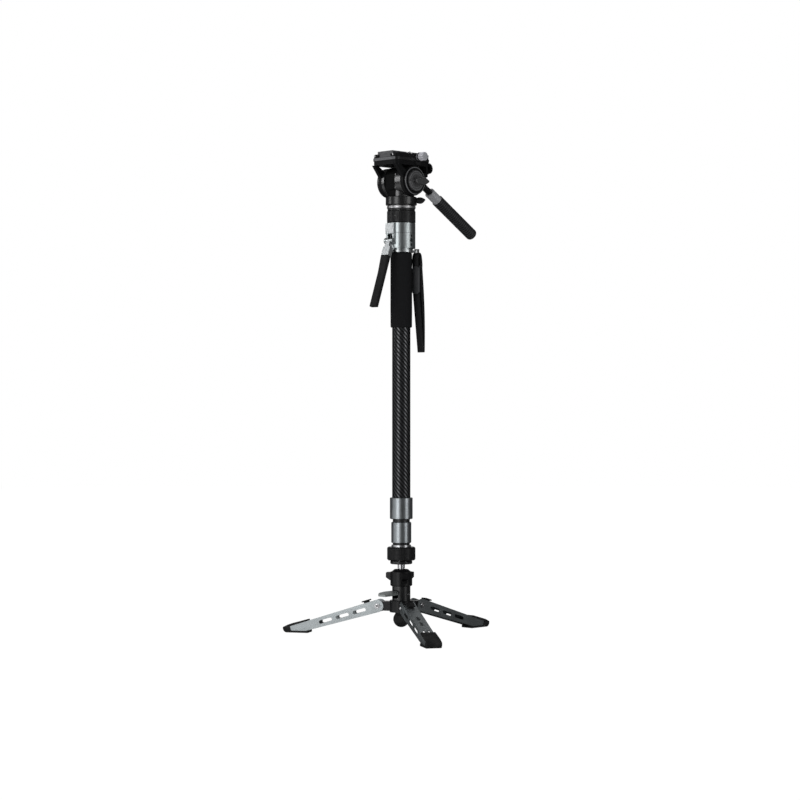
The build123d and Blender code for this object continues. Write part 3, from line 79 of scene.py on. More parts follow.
# Studio: a white sweep stands behind the object, and the camera sees only white. Mirrors see the
# sweep where it stands and a dim room elsewhere, and a pale even light fills the shadows.
class Wire:
    """A value in a node tree, so that sums of values can be written as plain Python."""

    def __init__(self, board, socket):
        self.board = board
        self.socket = socket

    def meet(self, operation, first, second=0.0):
        return self.board.node("ShaderNodeMath", {"operation": operation}, {0: first, 1: second})["Value"]

    def __add__(self, other):
        return self.meet("ADD", self, other)

    def __sub__(self, other):
        return self.meet("SUBTRACT", self, other)

    def __rsub__(self, other):
        return self.meet("SUBTRACT", other, self)

    def __mul__(self, other):
        return self.meet("MULTIPLY", self, other)

    def __truediv__(self, other):
        return self.meet("DIVIDE", self, other)

    def __gt__(self, other):
        return self.meet("GREATER_THAN", self, other)

    def __lt__(self, other):
        return self.meet("LESS_THAN", self, other)

    def larger(self, other):
        return self.meet("MAXIMUM", self, other)

    def sine(self):
        return self.meet("SINE", self)

    def fraction(self):
        return self.meet("FRACT", self)

    def power(self, other):
        return self.meet("POWER", self, other)

    def ramp(self, low, high, start=0.0, stop=1.0):
        """Smoothly from start at low to stop at high."""
        return self.board.node("ShaderNodeMapRange", {"interpolation_type": "SMOOTHSTEP"},
                               {"Value": self, "From Min": low, "From Max": high,
                                "To Min": start, "To Max": stop})["Result"]


class Placed:
    """A node whose outputs are read by name or number."""

    def __init__(self, board, node):
        self.board = board
        self.made = node

    def __getitem__(self, output):
        return Wire(self.board, self.made.outputs[output])


class Board:
    """A node tree on which nodes are laid one at a time."""

    def __init__(self, tree):
        self.tree = tree

    def node(self, kind, settings=None, values=None):
        made = self.tree.nodes.new(kind)
        for name, value in (settings or {}).items():
            setattr(made, name, value)
        for name, value in (values or {}).items():
            if isinstance(value, Wire):
                self.tree.links.new(value.socket, made.inputs[name])
            else:
                made.inputs[name].default_value = value
        return Placed(self, made)

    def show(self, shader, output):
        """Link the last shader to the tree's output."""
        self.tree.links.new(shader.socket, self.tree.nodes[output].inputs["Surface"])


# Where the sweep fades in from the side, as a cosine from straight behind, and out upwards, as a sine
sweep_edge = (0.92, 0.985)
sweep_top = (0.2, 0.85)
sweep_bright = 0.5
room_dim = 0.05
fill_colour = (0.93, 0.96, 1.0, 1)
fill_strength = 0.45
world = bpy.data.worlds.new("studio")
scene.world = world
world.use_nodes = True
sky = Board(world.node_tree)
fill = sky.tree.nodes["Background"]
fill.inputs["Color"].default_value = fill_colour
fill.inputs["Strength"].default_value = fill_strength
rays = sky.node("ShaderNodeLightPath")
outward = sky.node("ShaderNodeTexCoord")["Generated"]
level = sky.node("ShaderNodeVectorMath", {"operation": "MULTIPLY"}, {0: outward, 1: (1, 1, 0)})["Vector"]
heading = sky.node("ShaderNodeVectorMath", {"operation": "NORMALIZE"}, {0: level})["Vector"]
away = (-math.sin(view_azimuth), math.cos(view_azimuth), 0)
behind = sky.node("ShaderNodeVectorMath", {"operation": "DOT_PRODUCT"}, {0: heading, 1: away})["Value"]
upward = sky.node("ShaderNodeSeparateXYZ", None, {"Vector": outward})["Z"]
sweep_height = upward.ramp(*sweep_top, start=sweep_bright, stop=room_dim)
sweep = behind.ramp(*sweep_edge, start=room_dim, stop=sweep_height)
shown = sky.node("ShaderNodeBackground", None,
                 {"Color": (1, 1, 1, 1), "Strength": sweep.larger(rays["Is Camera Ray"])})
mirrored = rays["Is Glossy Ray"].larger(rays["Is Transmission Ray"])
choice = sky.node("ShaderNodeMixShader", None,
                  {0: rays["Is Camera Ray"].larger(mirrored),
                   1: Wire(sky, fill.outputs["Background"]), 2: shown["Background"]})
sky.show(choice["Shader"], "World Output")


# Lamps: soft boxes at a plain level, all turned to one point on the column. The key is a tall one
# left of the camera, wide ones on the right light the legs and the release sleeve, and narrow ones
# on the left and behind give the head its edges.
def compass(bearing, reach, height=0.0):
    """A point at a bearing in degrees, counted from straight ahead towards the right."""
    turn = math.radians(bearing)
    return Vector((reach * math.sin(turn), -reach * math.cos(turn), height))


lamp_aim = Vector((0, 0, 0.4))
# Each lamp: its bearing, distance on the ground, height, width, length and power in watts
lamps = {"key": (8, 2.4, 1.0, 1.1, 2.0, 19),
         "strip": (102, 2.4, 0.45, 0.9, 1.2, 8),
         "sleeve": (92, 2.4, 0.86, 2.4, 0.22, 2.1),
         "left": (-47, 2.4, 1.36, 0.40, 1.25, 8),
         "back": (218, 0.45, 1.32, 0.35, 0.2, 0.9)}
for lamp_name, (bearing, reach, height, width, length, power) in lamps.items():
    lamp_data = bpy.data.lights.new(lamp_name, "AREA")
    lamp_data.shape = "RECTANGLE"
    lamp_data.size = width
    lamp_data.size_y = length
    lamp_data.energy = power
    lamp = bpy.data.objects.new(lamp_name, lamp_data)
    lamp.location = compass(bearing, reach, height)
    lamp.rotation_euler = (lamp_aim - lamp.location).to_track_quat("-Z", "Y").to_euler()
    scene.collection.objects.link(lamp)


# Floor: a pale matt disc, wide enough for any view, that the camera sees as white as the sweep.
# In a mirror it shows a painted pool of light, white to the left and in front where the key falls, and dim
# elsewhere.
class Finish(Board):
    """A material: its skin is the shader's own values, and patterns are laid on it as nodes."""

    def __init__(self, name, colour, roughness, metallic=0.0, **skin):
        self.material = bpy.data.materials.new(name)
        self.material.use_nodes = True
        super().__init__(self.material.node_tree)
        self.shader = self.tree.nodes["Principled BSDF"]
        self.shader.inputs["Base Color"].default_value = (*colour, 1)
        self.shader.inputs["Roughness"].default_value = roughness
        self.shader.inputs["Metallic"].default_value = metallic
        for socket, value in skin.items():
            self.shader.inputs[socket.replace("_", " ")].default_value = value
        self.place = self.node("ShaderNodeTexCoord")["Object"]

    def along(self, axis):
        """A point's place along X, Y or Z, in metres."""
        return self.node("ShaderNodeSeparateXYZ", None, {"Vector": self.place})[axis]

    def grain(self, scale, detail=2.0, stretch=(1, 1, 1)):
        """Noise in the piece's own space, stretched along its axes."""
        laid = self.node("ShaderNodeMapping", None, {"Vector": self.place, "Scale": stretch})["Vector"]
        noise = self.node("ShaderNodeTexNoise", None, {"Vector": laid, "Scale": scale, "Detail": detail})
        return noise["Fac"]

    def tint(self, mask, dark, light):
        """Base colour that goes from dark to light with a mask."""
        mixed = self.node("ShaderNodeMix", {"data_type": "RGBA"},
                          {"Factor": mask, 6: (*dark, 1), 7: (*light, 1)})
        self.feed("Base Color", mixed[2])

    def feed(self, socket, value):
        self.tree.links.new(value.socket, self.shader.inputs[socket])

    def relief(self, height, depth, strength):
        """Raise the surface where the height is 1, by a depth in metres."""
        bump = self.node("ShaderNodeBump", None, {"Height": height, "Distance": depth, "Strength": strength})
        self.feed("Normal", bump["Normal"])

    def dress(self, *names):
        """Put the material on CAD nodes."""
        for name in names:
            for slot in nodes[name].material_slots:
                slot.material = self.material


floor_radius = 6
floor_drop = 0.0005
# Straight rays see this share as glow, and the paint below it keeps the shadow
floor_glow_share = 0.93
floor_glow = 1.06
floor_dim = 0.05
pool_bearing = -10
pool_edge = (0.6, 0.9)
pool_near = (0.06, 0.18)
pool_far = (2.0, 4.5)
floor_mesh = bpy.data.meshes.new("floor")
disc = bmesh.new()
bmesh.ops.create_circle(disc, cap_ends=True, segments=64, radius=floor_radius)
disc.to_mesh(floor_mesh)
disc.free()
floor = bpy.data.objects.new("floor", floor_mesh)
floor.location.z = -floor_drop
scene.collection.objects.link(floor)
floor_paint = Finish("floor_paint", (0.85, 0.85, 0.85), 0.9)
floor_rays = floor_paint.node("ShaderNodeLightPath")
straight = floor_rays["Is Camera Ray"] + floor_rays["Is Transmission Ray"]
floor_x = floor_paint.along("X")
floor_y = floor_paint.along("Y")
distance = (floor_x * floor_x + floor_y * floor_y).power(0.5)
# A painted pool of light: mirrors see the floor glow white on the key's side, fading out close to the object
# and far away
lit_side = compass(pool_bearing, 1)
ahead_of_key = ((floor_x * lit_side.x + floor_y * lit_side.y) / distance).ramp(*pool_edge)
painted_light_pool = ahead_of_key * distance.ramp(*pool_near) * (1.0 - distance.ramp(*pool_far))
reflected = painted_light_pool * (1.0 - floor_dim) + floor_dim
brightness = straight * floor_glow + (1.0 - straight) * reflected
glow = floor_paint.node("ShaderNodeEmission", None, {"Color": (1, 1, 1, 1), "Strength": brightness})
floor_mix = floor_paint.node("ShaderNodeMixShader", None,
                             {0: straight * floor_glow_share + floor_rays["Is Glossy Ray"],
                              1: Wire(floor_paint, floor_paint.shader.outputs["BSDF"]), 2: glow["Emission"]})
floor_paint.show(floor_mix["Shader"], "Material Output")
floor_mesh.materials.append(floor_paint.material)

# Ball foot and leg shoes: moulded rubber, matt and a little dusty. The shoes are pushed over the
# ends of the legs, and the ball is moulded on a turned steel stud that screws into the hub.
rubber = Finish("matt_rubber", (0.014, 0.014, 0.014), 0.75, 0.0, Specular_IOR_Level=0.25)
dust = rubber.grain(90, 4)
rubber.tint(dust.ramp(0.35, 0.75), (0.010, 0.010, 0.010), (0.024, 0.024, 0.023))
rubber.relief(rubber.grain(1600, 3), 0.00012, 0.5)
rubber.dress("ball_foot", "leg_shoe_right", "leg_shoe_rear", "leg_shoe_left")

# A lathe leaves rings round the steel, seen as bands of rough and smooth
steel = Finish("turned_steel", (0.58, 0.58, 0.6), 0.22, 1.0)
lathe_rings = steel.grain(900, 1, (0.02, 0.02, 1))
steel.feed("Roughness", lathe_rings * 0.2 + 0.12)
steel.relief(lathe_rings, 0.00005, 0.4)
steel.dress("ball_foot_stud")


# Leg channels: folded from aluminium sheet with slots punched through, bead blasted and anodised
# blue-grey. The blasting leaves a fine even grain.
def anodised(name, colour, roughness):
    metal = Finish(name, colour, roughness, 1.0)
    cloud = metal.grain(35, 3)
    speck = metal.grain(2600, 2)
    metal.tint(cloud.ramp(0.3, 0.7), tuple(c * 0.9 for c in colour), tuple(min(1, c * 1.1) for c in colour))
    metal.feed("Roughness", speck * 0.12 + cloud * 0.1 + (roughness - 0.11))
    metal.relief(speck, 0.00006, 0.5)
    return metal


leg_metal = anodised("blasted_leg_metal", (0.38, 0.41, 0.42), 0.38)
leg_metal.dress("leg_channel_right", "leg_channel_rear", "leg_channel_left")

# Leg catches: small sprung tabs of moulded black plastic on the channels. The mould is spark
# eroded, which leaves a fine matt texture.
plastic = Finish("spark_textured_plastic", (0.009, 0.009, 0.0095), 0.55, 0.0, Specular_IOR_Level=0.18)
spark = plastic.grain(2400, 3)
plastic.tint(plastic.grain(60, 2), (0.006, 0.006, 0.0065), (0.013, 0.013, 0.0135))
plastic.feed("Roughness", spark * 0.25 + 0.42)
plastic.relief(spark, 0.0001, 0.5)
plastic.dress("leg_catch_right", "leg_catch_rear", "leg_catch_left")

# Leg pivots: a steel screw with its nut runs through each channel and its lug on the spider. The
# button heads on both sides are plated bright, with a socket sunk in the middle.
steel.dress("leg_pivot_pins")
screw_steel = Finish("bright_screw_steel", (0.75, 0.75, 0.76), 0.2, 1.0)
screw_steel.feed("Roughness", screw_steel.grain(1200, 2) * 0.15 + 0.14)


def solid(name, form, material, smooth=False, place=Matrix()):
    """A piece made from a closed form, with its faces turned outwards and its place in its mesh."""
    bmesh.ops.recalc_face_normals(form, faces=form.faces)
    form.transform(place)
    mesh = bpy.data.meshes.new(name)
    form.to_mesh(mesh)
    form.free()
    for face in mesh.polygons:
        face.use_smooth = smooth
    mesh.materials.append(material)
    made = bpy.data.objects.new(name, mesh)
    scene.collection.objects.link(made)
    return made


# An outline that closes on its axis stops this short of it
on_axis = 1e-5


def lathe(name, profile, material, place=Matrix(), steps=96):
    """A closed round piece from its outline in radius and height, on the column's axis unless placed."""
    form = bmesh.new()
    rounds = []
    for step in range(steps):
        angle = 2 * math.pi * step / steps
        rounds.append([form.verts.new((r * math.cos(angle), r * math.sin(angle), z)) for r, z in profile])
    for step in range(steps):
        here, there = rounds[step], rounds[(step + 1) % steps]
        for i in range(len(profile)):
            j = (i + 1) % len(profile)
            form.faces.new((here[i], there[i], there[j], here[j]))
    return solid(name, form, material, smooth=True, place=place)


def facing(point, direction):
    """The place of a round piece that stands at a point, with its axis in a direction."""
    return Matrix.Translation(point) @ Vector(direction).to_track_quat("Z", "Y").to_matrix().to_4x4()


head_sunk = 0.0003
head_rim = 0.0001
head_shoulder = 0.0004
head_height = 0.0006


def socket_screw(name, radius, point, direction, body):
    """A button head with its socket sunk in the middle."""
    socket = radius * 0.48
    head = [(on_axis, -head_sunk), (radius, -head_sunk), (radius, head_rim), (radius * 0.93, head_shoulder),
            (radius * 0.7, head_height), (socket, head_height), (socket * 0.94, head_rim), (on_axis, 0)]
    made = lathe(name, head, screw_steel.material, facing(point, direction), 36)
    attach(made, body)


pivot_reach = 0.038
pivot_half = 0.0123
pivot_z = 0.0475
pivot_screw_r = 0.0036
for leg, bearing in (("right", 60), ("left", -60), ("rear", 180)):
    for side, hand in (("near", -90), ("far", 90)):
        outside = compass(bearing + hand, 1)
        socket_screw("pivot_screw_%s_%s" % (leg, side), pivot_screw_r,
                     compass(bearing, pivot_reach, pivot_z) + outside * pivot_half, outside, "base")

# Hub: a turned barrel over a cast spider with three lugs. Both are stove painted black, the barrel
# with more gloss and the castings with a slight orange peel, and a set screw shows on the barrel.
black = Finish("satin_black_paint", (0.006, 0.006, 0.0065), 0.3, 0.0, Specular_IOR_Level=0.3)
peel = black.grain(700, 2)
black.tint(black.grain(40, 2), (0.004, 0.004, 0.0045), (0.009, 0.009, 0.0095))
black.feed("Roughness", peel * 0.16 + 0.22)
black.relief(peel, 0.00008, 0.35)
black.dress("hub_spider")
gloss_paint = Finish("glossy_base_paint", (0.007, 0.007, 0.0075), 0.3, 0.0, Specular_IOR_Level=0.6,
                     Coat_Weight=0.3, Coat_Roughness=0.2)
gloss_paint.feed("Roughness", gloss_paint.grain(700, 2) * 0.14 + 0.24)
gloss_paint.dress("hub_barrel")
set_screw_r = 0.0015
set_screw_bearing = 102
set_screw_z = 0.0672
barrel_r = 0.01495
socket_screw("barrel_set_screw", set_screw_r, compass(set_screw_bearing, barrel_r, set_screw_z),
             compass(set_screw_bearing, 1), "base")

# Foot pedal: a casting, anodised a pale grey-green. It carries a steel plunger, and a spring of
# music wire round that is pressed flatter as the pedal goes down.
pedal_metal = anodised("pedal_metal", (0.40, 0.43, 0.42), 0.45)
pedal_metal.dress("pedal")
steel.dress("lock_plunger")
spring_low, spring_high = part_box("pedal_spring")
spring_height = spring_high.z - spring_low.z
spring_wire = 0.0007
spring_coil_r = 0.0068
spring_coils = 4
steps_round = 32
sides_round_wire = 8
coil_steps = spring_coils * steps_round
coil_form = bmesh.new()
last_ring = None
for step in range(coil_steps + 1):
    around = 2 * math.pi * step / steps_round
    rise = spring_low.z + spring_wire + (spring_height - 2 * spring_wire) * step / coil_steps
    ring = []
    for k in range(sides_round_wire):
        round_wire = 2 * math.pi * k / sides_round_wire
        reach = spring_coil_r + spring_wire * math.cos(round_wire)
        ring.append(coil_form.verts.new((reach * math.cos(around), reach * math.sin(around),
                                         rise + spring_wire * math.sin(round_wire))))
    if last_ring:
        for k in range(sides_round_wire):
            n = (k + 1) % sides_round_wire
            coil_form.faces.new((last_ring[k], ring[k], ring[n], last_ring[n]))
    else:
        coil_form.faces.new(ring)
    last_ring = ring
coil_form.faces.new(list(reversed(last_ring)))
pedal_coil = solid("pedal_coil", coil_form, screw_steel.material)
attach(pedal_coil, "base")
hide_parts("pedal_spring")
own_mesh(pedal_coil)

# Ball joint: a cast housing with a screwed cap and three lugs for the folded legs, painted black.
# The ball turns in a race of natural nylon, and the same nylon makes the guides inside the tubes.
black.dress("ball_housing", "housing_cap", "stow_pads")
nylon = Finish("natural_nylon", (0.62, 0.61, 0.57), 0.5)
nylon.tint(nylon.grain(60), (0.58, 0.57, 0.53), (0.66, 0.65, 0.61))
nylon.dress("swivel_race", "bush_2", "bush_3")


# Ball stem: bright turned steel up to the flange, and the flange itself is blacked.
# The line between the two is at a height on the column.
def blacked(metal, bright, bright_from, bright_to):
    """A metal that stays bright in one stretch of height and is blacked above and below it."""
    height = metal.along("Z")
    inside = (height > bright_from) * (height < bright_to)
    metal.tint(inside, (0.014, 0.014, 0.015), bright)
    metal.feed("Metallic", inside)
    return metal


stem_bright = (0.72, 0.72, 0.74)
stem_flange_z = 0.1165
stem_metal = blacked(Finish("stem_metal", stem_bright, 0.18, 1.0), stem_bright, 0.0, stem_flange_z)
stem_metal.dress("ball_stem")

# Foot ring and plug: a knurled ring, cast and painted black, turns on the silver anodised plug
# that closes the lowest tube.
silver = anodised("silver_trim", (0.66, 0.67, 0.69), 0.28)
silver.dress("foot_plug")
black.dress("foot_ring")

# Clamp collars: turned from aluminium, blasted and anodised like the legs but finer. The lower
# one has black lips above and below its bright barrel.
collar_grey = (0.42, 0.45, 0.47)
collar_roughness = 0.34
lower_lip_z = 0.1514
upper_lip_z = 0.1854
collar_metal = anodised("collar_metal", collar_grey, collar_roughness)
collar_metal.dress("collar_1")
lip_metal = blacked(anodised("lower_collar_metal", collar_grey, collar_roughness), collar_grey,
                    lower_lip_z, upper_lip_z)
lip_metal.dress("collar_2")

# Carbon tubes: twill cloth is wound on a slant and clear coated. Fifteen ribs climb side by side
# round the tube, and going straight up it one is met every 7 mm.
rib_pitch = 0.007
ribs_round = 15
carbon = Finish("clear_coated_carbon", (0.02, 0.02, 0.022), 0.3, 0.0, Coat_Weight=0.08, Coat_Roughness=0.25,
                Specular_IOR_Level=0.12)
round_tube = carbon.node("ShaderNodeMath", {"operation": "ARCTAN2"},
                         {0: carbon.along("Y"), 1: carbon.along("X")})["Value"]
rib = (round_tube * (ribs_round / (2 * math.pi)) + carbon.along("Z") * (1 / rib_pitch)).fraction() - 0.5
rib_mask = (rib * rib * 4).ramp(0.12, 0.6)
carbon.tint(rib_mask, (0.003, 0.003, 0.0035), (0.098, 0.100, 0.105))
carbon.feed("Metallic", rib_mask)
carbon.feed("Roughness", rib_mask * -0.2 + 0.5)
carbon.relief(rib_mask, 0.00012, 0.35)
carbon.dress("tube_1", "tube_2", "tube_3")

# Foam grip: a tube of closed-cell foam drawn over the upper carbon tube. Its ends are rolled over
# and it sits slightly slack, so its wall is crowned rather than straight.
foam = Finish("closed_cell_foam", (0.010, 0.010, 0.011), 0.95, 0.0, Specular_IOR_Level=0.12)
cells = foam.grain(1900, 3)
foam.tint(cells.ramp(0.35, 0.7), (0.007, 0.007, 0.0075), (0.014, 0.014, 0.015))
foam.relief(cells, 0.00035, 0.8)
foam_low, foam_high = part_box("foam_grip")
foam_bore_r = 0.01506
foam_slack = 0.0002
foam_wall_r = foam_high.x - foam_slack
foam_swell = 0.00022
foam_ripple = 0.00006
roll = 0.0022
roll_r = foam_wall_r - roll
roll_low_z = foam_low.z + roll
roll_high_z = foam_high.z - roll
roll_steps = 6
wall_height = roll_high_z - roll_low_z
wall_steps = 24
foam_outline = [(foam_bore_r, roll_low_z), (foam_bore_r, roll_high_z)]
for step in range(roll_steps + 1):
    angle = math.pi / 2 * step / roll_steps
    foam_outline.append((roll_r + roll * math.sin(angle), roll_high_z + roll * math.cos(angle)))
for step in range(1, wall_steps):
    share = step / wall_steps
    slack = foam_swell * math.sin(math.pi * share) ** 0.6 + foam_ripple * math.sin(19 * share)
    foam_outline.append((foam_wall_r + min(slack, foam_slack), roll_high_z - share * wall_height))
for step in range(roll_steps + 1):
    angle = math.pi / 2 * (1 - step / roll_steps)
    foam_outline.append((roll_r + roll * math.sin(angle), roll_low_z - roll * math.cos(angle)))
foam_sleeve = lathe("foam_sleeve", foam_outline, foam.material)
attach(foam_sleeve, "upper_tube")
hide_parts("foam_grip")

# Release sleeve: turned and bored from aluminium in two halves, butted at a fine dark seam. A
# smooth plate is let into the block over the lever, and a steel rod runs down inside.
sleeve_grey = (0.44, 0.475, 0.48)
seam_below_top = 0.0375
seam_width = 0.0004
seam_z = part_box("release_body")[1].z - seam_below_top
sleeve_metal = anodised("release_sleeve_metal", sleeve_grey, 0.34)
along_sleeve = sleeve_metal.along("Z")
seam = (along_sleeve > seam_z) * (along_sleeve < seam_z + seam_width)
sleeve_metal.tint(seam, sleeve_grey, (0.05, 0.055, 0.06))
sleeve_metal.dress("release_body")
steel.dress("release_rod")


def slab(name, low, high, corner, material, body):
    """A plate between two corners, with its edges and corners rounded."""
    form = bmesh.new()
    bmesh.ops.create_cube(form, size=1)
    low, high = Vector(low), Vector(high)
    form.transform(Matrix.Translation((low + high) / 2) @ Matrix.Diagonal((*(high - low), 1)))
    bmesh.ops.bevel(form, geom=form.edges[:], offset=corner, segments=3, affect="EDGES", clamp_overlap=True)
    made = solid(name, form, material)
    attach(made, body)


block_face_y = -0.0270
block_plate_half_width = 0.0084
block_plate_foot_z = 0.6584
block_plate_top_z = 0.6730
block_plate_sunk = 0.0004
block_plate_proud = 0.0003
broken_edge = 0.0002
block_plate_metal = anodised("release_plate_metal", (0.55, 0.57, 0.58), 0.36)
slab("release_plate", (-block_plate_half_width, block_face_y - block_plate_proud, block_plate_foot_z),
     (block_plate_half_width, block_face_y + block_plate_sunk, block_plate_top_z), broken_edge,
     block_plate_metal.material, "upper_tube")

# Squeeze lever: an arm of pressed aluminium with a smooth anodised face and no grain to be seen,
# on a steel pin, with a moulded grip pushed over it. The strap's ring has the same finish.
lever_metal = Finish("lever_metal", (0.50, 0.52, 0.53), 0.34, 1.0)
lever_metal.feed("Roughness", lever_metal.grain(60, 2) * 0.1 + 0.29)
lever_metal.dress("lever_arm", "strap_ring")
plastic.dress("lever_grip")
steel.dress("lever_pin")

# Wrist strap: one length of nylon webbing, sewn to a loop, hangs from a moulded clip and runs
# through a dark plastic slider. The back layer goes over the clip, and both meet in the fold.
plastic.dress("strap_clip")
slider_plastic = Finish("slider_plastic", (0.045, 0.046, 0.048), 0.4)
slider_plastic.tint(slider_plastic.grain(70), (0.035, 0.036, 0.038), (0.055, 0.056, 0.058))
slider_plastic.dress("strap_slider")
weft_pitch = 0.0011
warp_pitch = 0.0014
webbing = Finish("nylon_webbing", (0.012, 0.012, 0.0125), 0.8, 0.0, Specular_IOR_Level=0.2)
cloth = webbing.node("ShaderNodeUVMap")["UV"]
thread = webbing.node("ShaderNodeSeparateXYZ", None, {"Vector": cloth})
weft = (thread["Y"] * (2 * math.pi / weft_pitch)).sine()
warp = (thread["X"] * (2 * math.pi / warp_pitch) + weft * 0.9).sine()
webbing.tint(warp * 0.5 + 0.5, (0.006, 0.006, 0.0065), (0.020, 0.020, 0.021))
webbing.relief(warp * 0.5 + weft * 0.5, 0.00025, 0.7)


def ribbon(name, path, half_width, thickness, material):
    """A flat band along a path of points, its width kept along X, with its length as UV."""
    form = bmesh.new()
    uv = form.loops.layers.uv.new("UVMap")
    rim = ((-1, -0.5), (-0.9, -1), (0, -1), (0.9, -1), (1, -0.5),
           (1, 0.5), (0.9, 1), (0, 1), (-0.9, 1), (-1, 0.5))
    sections, run, distance = [], [], 0.0
    for i, point in enumerate(path):
        along = (path[min(i + 1, len(path) - 1)] - path[max(i - 1, 0)]).normalized()
        wide = (Vector((1, 0, 0)) - along * along.x).normalized()
        out = along.cross(wide).normalized()
        if i:
            distance += (point - path[i - 1]).length
        run.append(distance)
        sections.append([form.verts.new(point + wide * side * half_width + out * depth * thickness / 2)
                         for side, depth in rim])
    for i in range(len(sections) - 1):
        here, there = sections[i], sections[i + 1]
        for k in range(len(rim)):
            n = (k + 1) % len(rim)
            face = form.faces.new((here[k], here[n], there[n], there[k]))
            for loop in face.loops:
                first = loop.vert in here
                rank = here.index(loop.vert) if first else there.index(loop.vert)
                across = half_width * min(rank, len(rim) - 1 - rank) / 2
                loop[uv].uv = (across, run[i] if first else run[i + 1])
    form.faces.new(sections[0])
    form.faces.new(list(reversed(sections[-1])))
    return solid(name, form, material, smooth=True)


# The front layer hangs straight from the slider to the fold
band_low, band_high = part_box("strap_band")
slider_low, slider_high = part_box("strap_slider")
strap_top_y = 0.0192
strap_in_slider = 0.002
strap_top = Vector(((slider_low.x + slider_high.x) / 2, strap_top_y, slider_low.z + strap_in_slider))
strap_foot = Vector((band_high.x - 0.0077, band_high.y - 0.0014, band_low.z + 0.0008))
front_half_width = 0.0075
front_thickness = 0.0011
front_steps = 14
front_offset = Vector((0, -0.0007, 0))
front_layer = [strap_top.lerp(strap_foot, t / front_steps) + front_offset for t in range(front_steps + 1)]
strap_front = ribbon("strap_front_layer", front_layer, front_half_width, front_thickness, webbing.material)
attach(strap_front, "strap")
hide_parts("strap_band")

# The back layer rises from the fold with a slight bow, then loops over the clip's pin
back_half_width = 0.0070
back_thickness = 0.0012
back_steps = 18
fold_back = strap_foot + Vector((0, 0.0010, 0.0012))
behind_slider = Vector((0.0192, 0.0226, slider_high.z - 0.0045))
greatest_bow = Vector((0.0012, 0.0010, 0))
back_layer = [strap_foot + Vector((0, 0.0004, 0.0002)), strap_foot + Vector((0, 0.0009, 0.0012))]
for t in range(1, back_steps + 1):
    share = t / back_steps
    back_layer.append(fold_back.lerp(behind_slider, share) + greatest_bow * math.sin(math.pi * share))
loop_over_pin = ((0.0190, 0.0230, 0.6070), (0.0180, 0.0232, 0.6150), (0.0170, 0.0231, 0.6210),
                 (0.0163, 0.0224, 0.6244), (0.0158, 0.0206, 0.6262), (0.0156, 0.0186, 0.6248),
                 (0.0155, 0.0174, 0.6200), (0.0155, 0.0170, 0.6110), (0.0155, 0.0178, 0.6000))
back_layer += [Vector(point) for point in loop_over_pin]


def smoothed(points, parts):
    """The path through the points as a curve, each stretch cut into equal parts."""
    path = []
    last = len(points) - 1
    for i in range(last):
        before, here, there, after = (points[max(0, min(last, k))] for k in (i - 1, i, i + 1, i + 2))
        for part in range(parts):
            share = part / parts
            path.append(0.5 * (2 * here + (there - before) * share
                               + (2 * before - 5 * here + 4 * there - after) * share ** 2
                               + (3 * here - before - 3 * there + after) * share ** 3))
    path.append(points[-1])
    return path


strap_back = ribbon("strap_back_layer", smoothed(back_layer, 3), back_half_width, back_thickness,
                    webbing.material)
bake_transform(strap_back)


# Its seam: two rows of stitches in a thicker thread hold the layers together above the fold.
# Each row is one stitch, repeated along the band.
def repeated(name, layout, count, spacing, rib, place, material, body):
    """Ribs of one size in Geometry Nodes: round a ring of a radius, or along a row at a pitch."""
    tree = bpy.data.node_groups.new(name + "_tree", "GeometryNodeTree")
    tree.interface.new_socket("Geometry", in_out="OUTPUT", socket_type="NodeSocketGeometry")
    sizes = {"Count": (count, "NodeSocketInt"), "Spacing": (spacing, "NodeSocketFloat"),
             "Rib": (rib, "NodeSocketVector")}
    sockets = {key: tree.interface.new_socket(key, in_out="INPUT", socket_type=kind)
               for key, (value, kind) in sizes.items()}
    given = tree.nodes.new("NodeGroupInput")
    out = tree.nodes.new("NodeGroupOutput")
    ridge = tree.nodes.new("GeometryNodeMeshCube")
    spread = tree.nodes.new("GeometryNodeInstanceOnPoints")
    real = tree.nodes.new("GeometryNodeRealizeInstances")
    coat = tree.nodes.new("GeometryNodeSetMaterial")
    coat.inputs["Material"].default_value = material
    if layout == "ring":
        points = tree.nodes.new("GeometryNodeMeshCircle")
        where = tree.nodes.new("GeometryNodeInputPosition")
        turned = tree.nodes.new("FunctionNodeAlignRotationToVector")
        turned.axis = "X"
        turned.pivot_axis = "Z"
        tree.links.new(given.outputs["Count"], points.inputs["Vertices"])
        tree.links.new(given.outputs["Spacing"], points.inputs["Radius"])
        tree.links.new(where.outputs["Position"], turned.inputs["Vector"])
        tree.links.new(turned.outputs["Rotation"], spread.inputs["Rotation"])
    else:
        points = tree.nodes.new("GeometryNodeMeshLine")
        step = tree.nodes.new("ShaderNodeCombineXYZ")
        tree.links.new(given.outputs["Count"], points.inputs["Count"])
        tree.links.new(given.outputs["Spacing"], step.inputs["Y"])
        tree.links.new(step.outputs["Vector"], points.inputs["Offset"])
    for one, other in ((given.outputs["Rib"], ridge.inputs["Size"]),
                       (points.outputs["Mesh"], spread.inputs["Points"]),
                       (ridge.outputs["Mesh"], spread.inputs["Instance"]),
                       (spread.outputs["Instances"], real.inputs["Geometry"]),
                       (real.outputs["Geometry"], coat.inputs["Geometry"]),
                       (coat.outputs["Geometry"], out.inputs["Geometry"])):
        tree.links.new(one, other)
    made = bpy.data.objects.new(name, bpy.data.meshes.new(name))
    scene.collection.objects.link(made)
    grown = made.modifiers.new("ribs", "NODES")
    grown.node_group = tree
    for key, socket in sockets.items():
        grown[socket.identifier] = sizes[key][0]
    bpy.context.view_layer.update()
    mesh = bpy.data.meshes.new_from_object(made.evaluated_get(bpy.context.evaluated_depsgraph_get()))
    made.modifiers.clear()
    mesh.transform(place)
    made.data = mesh
    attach(made, body)


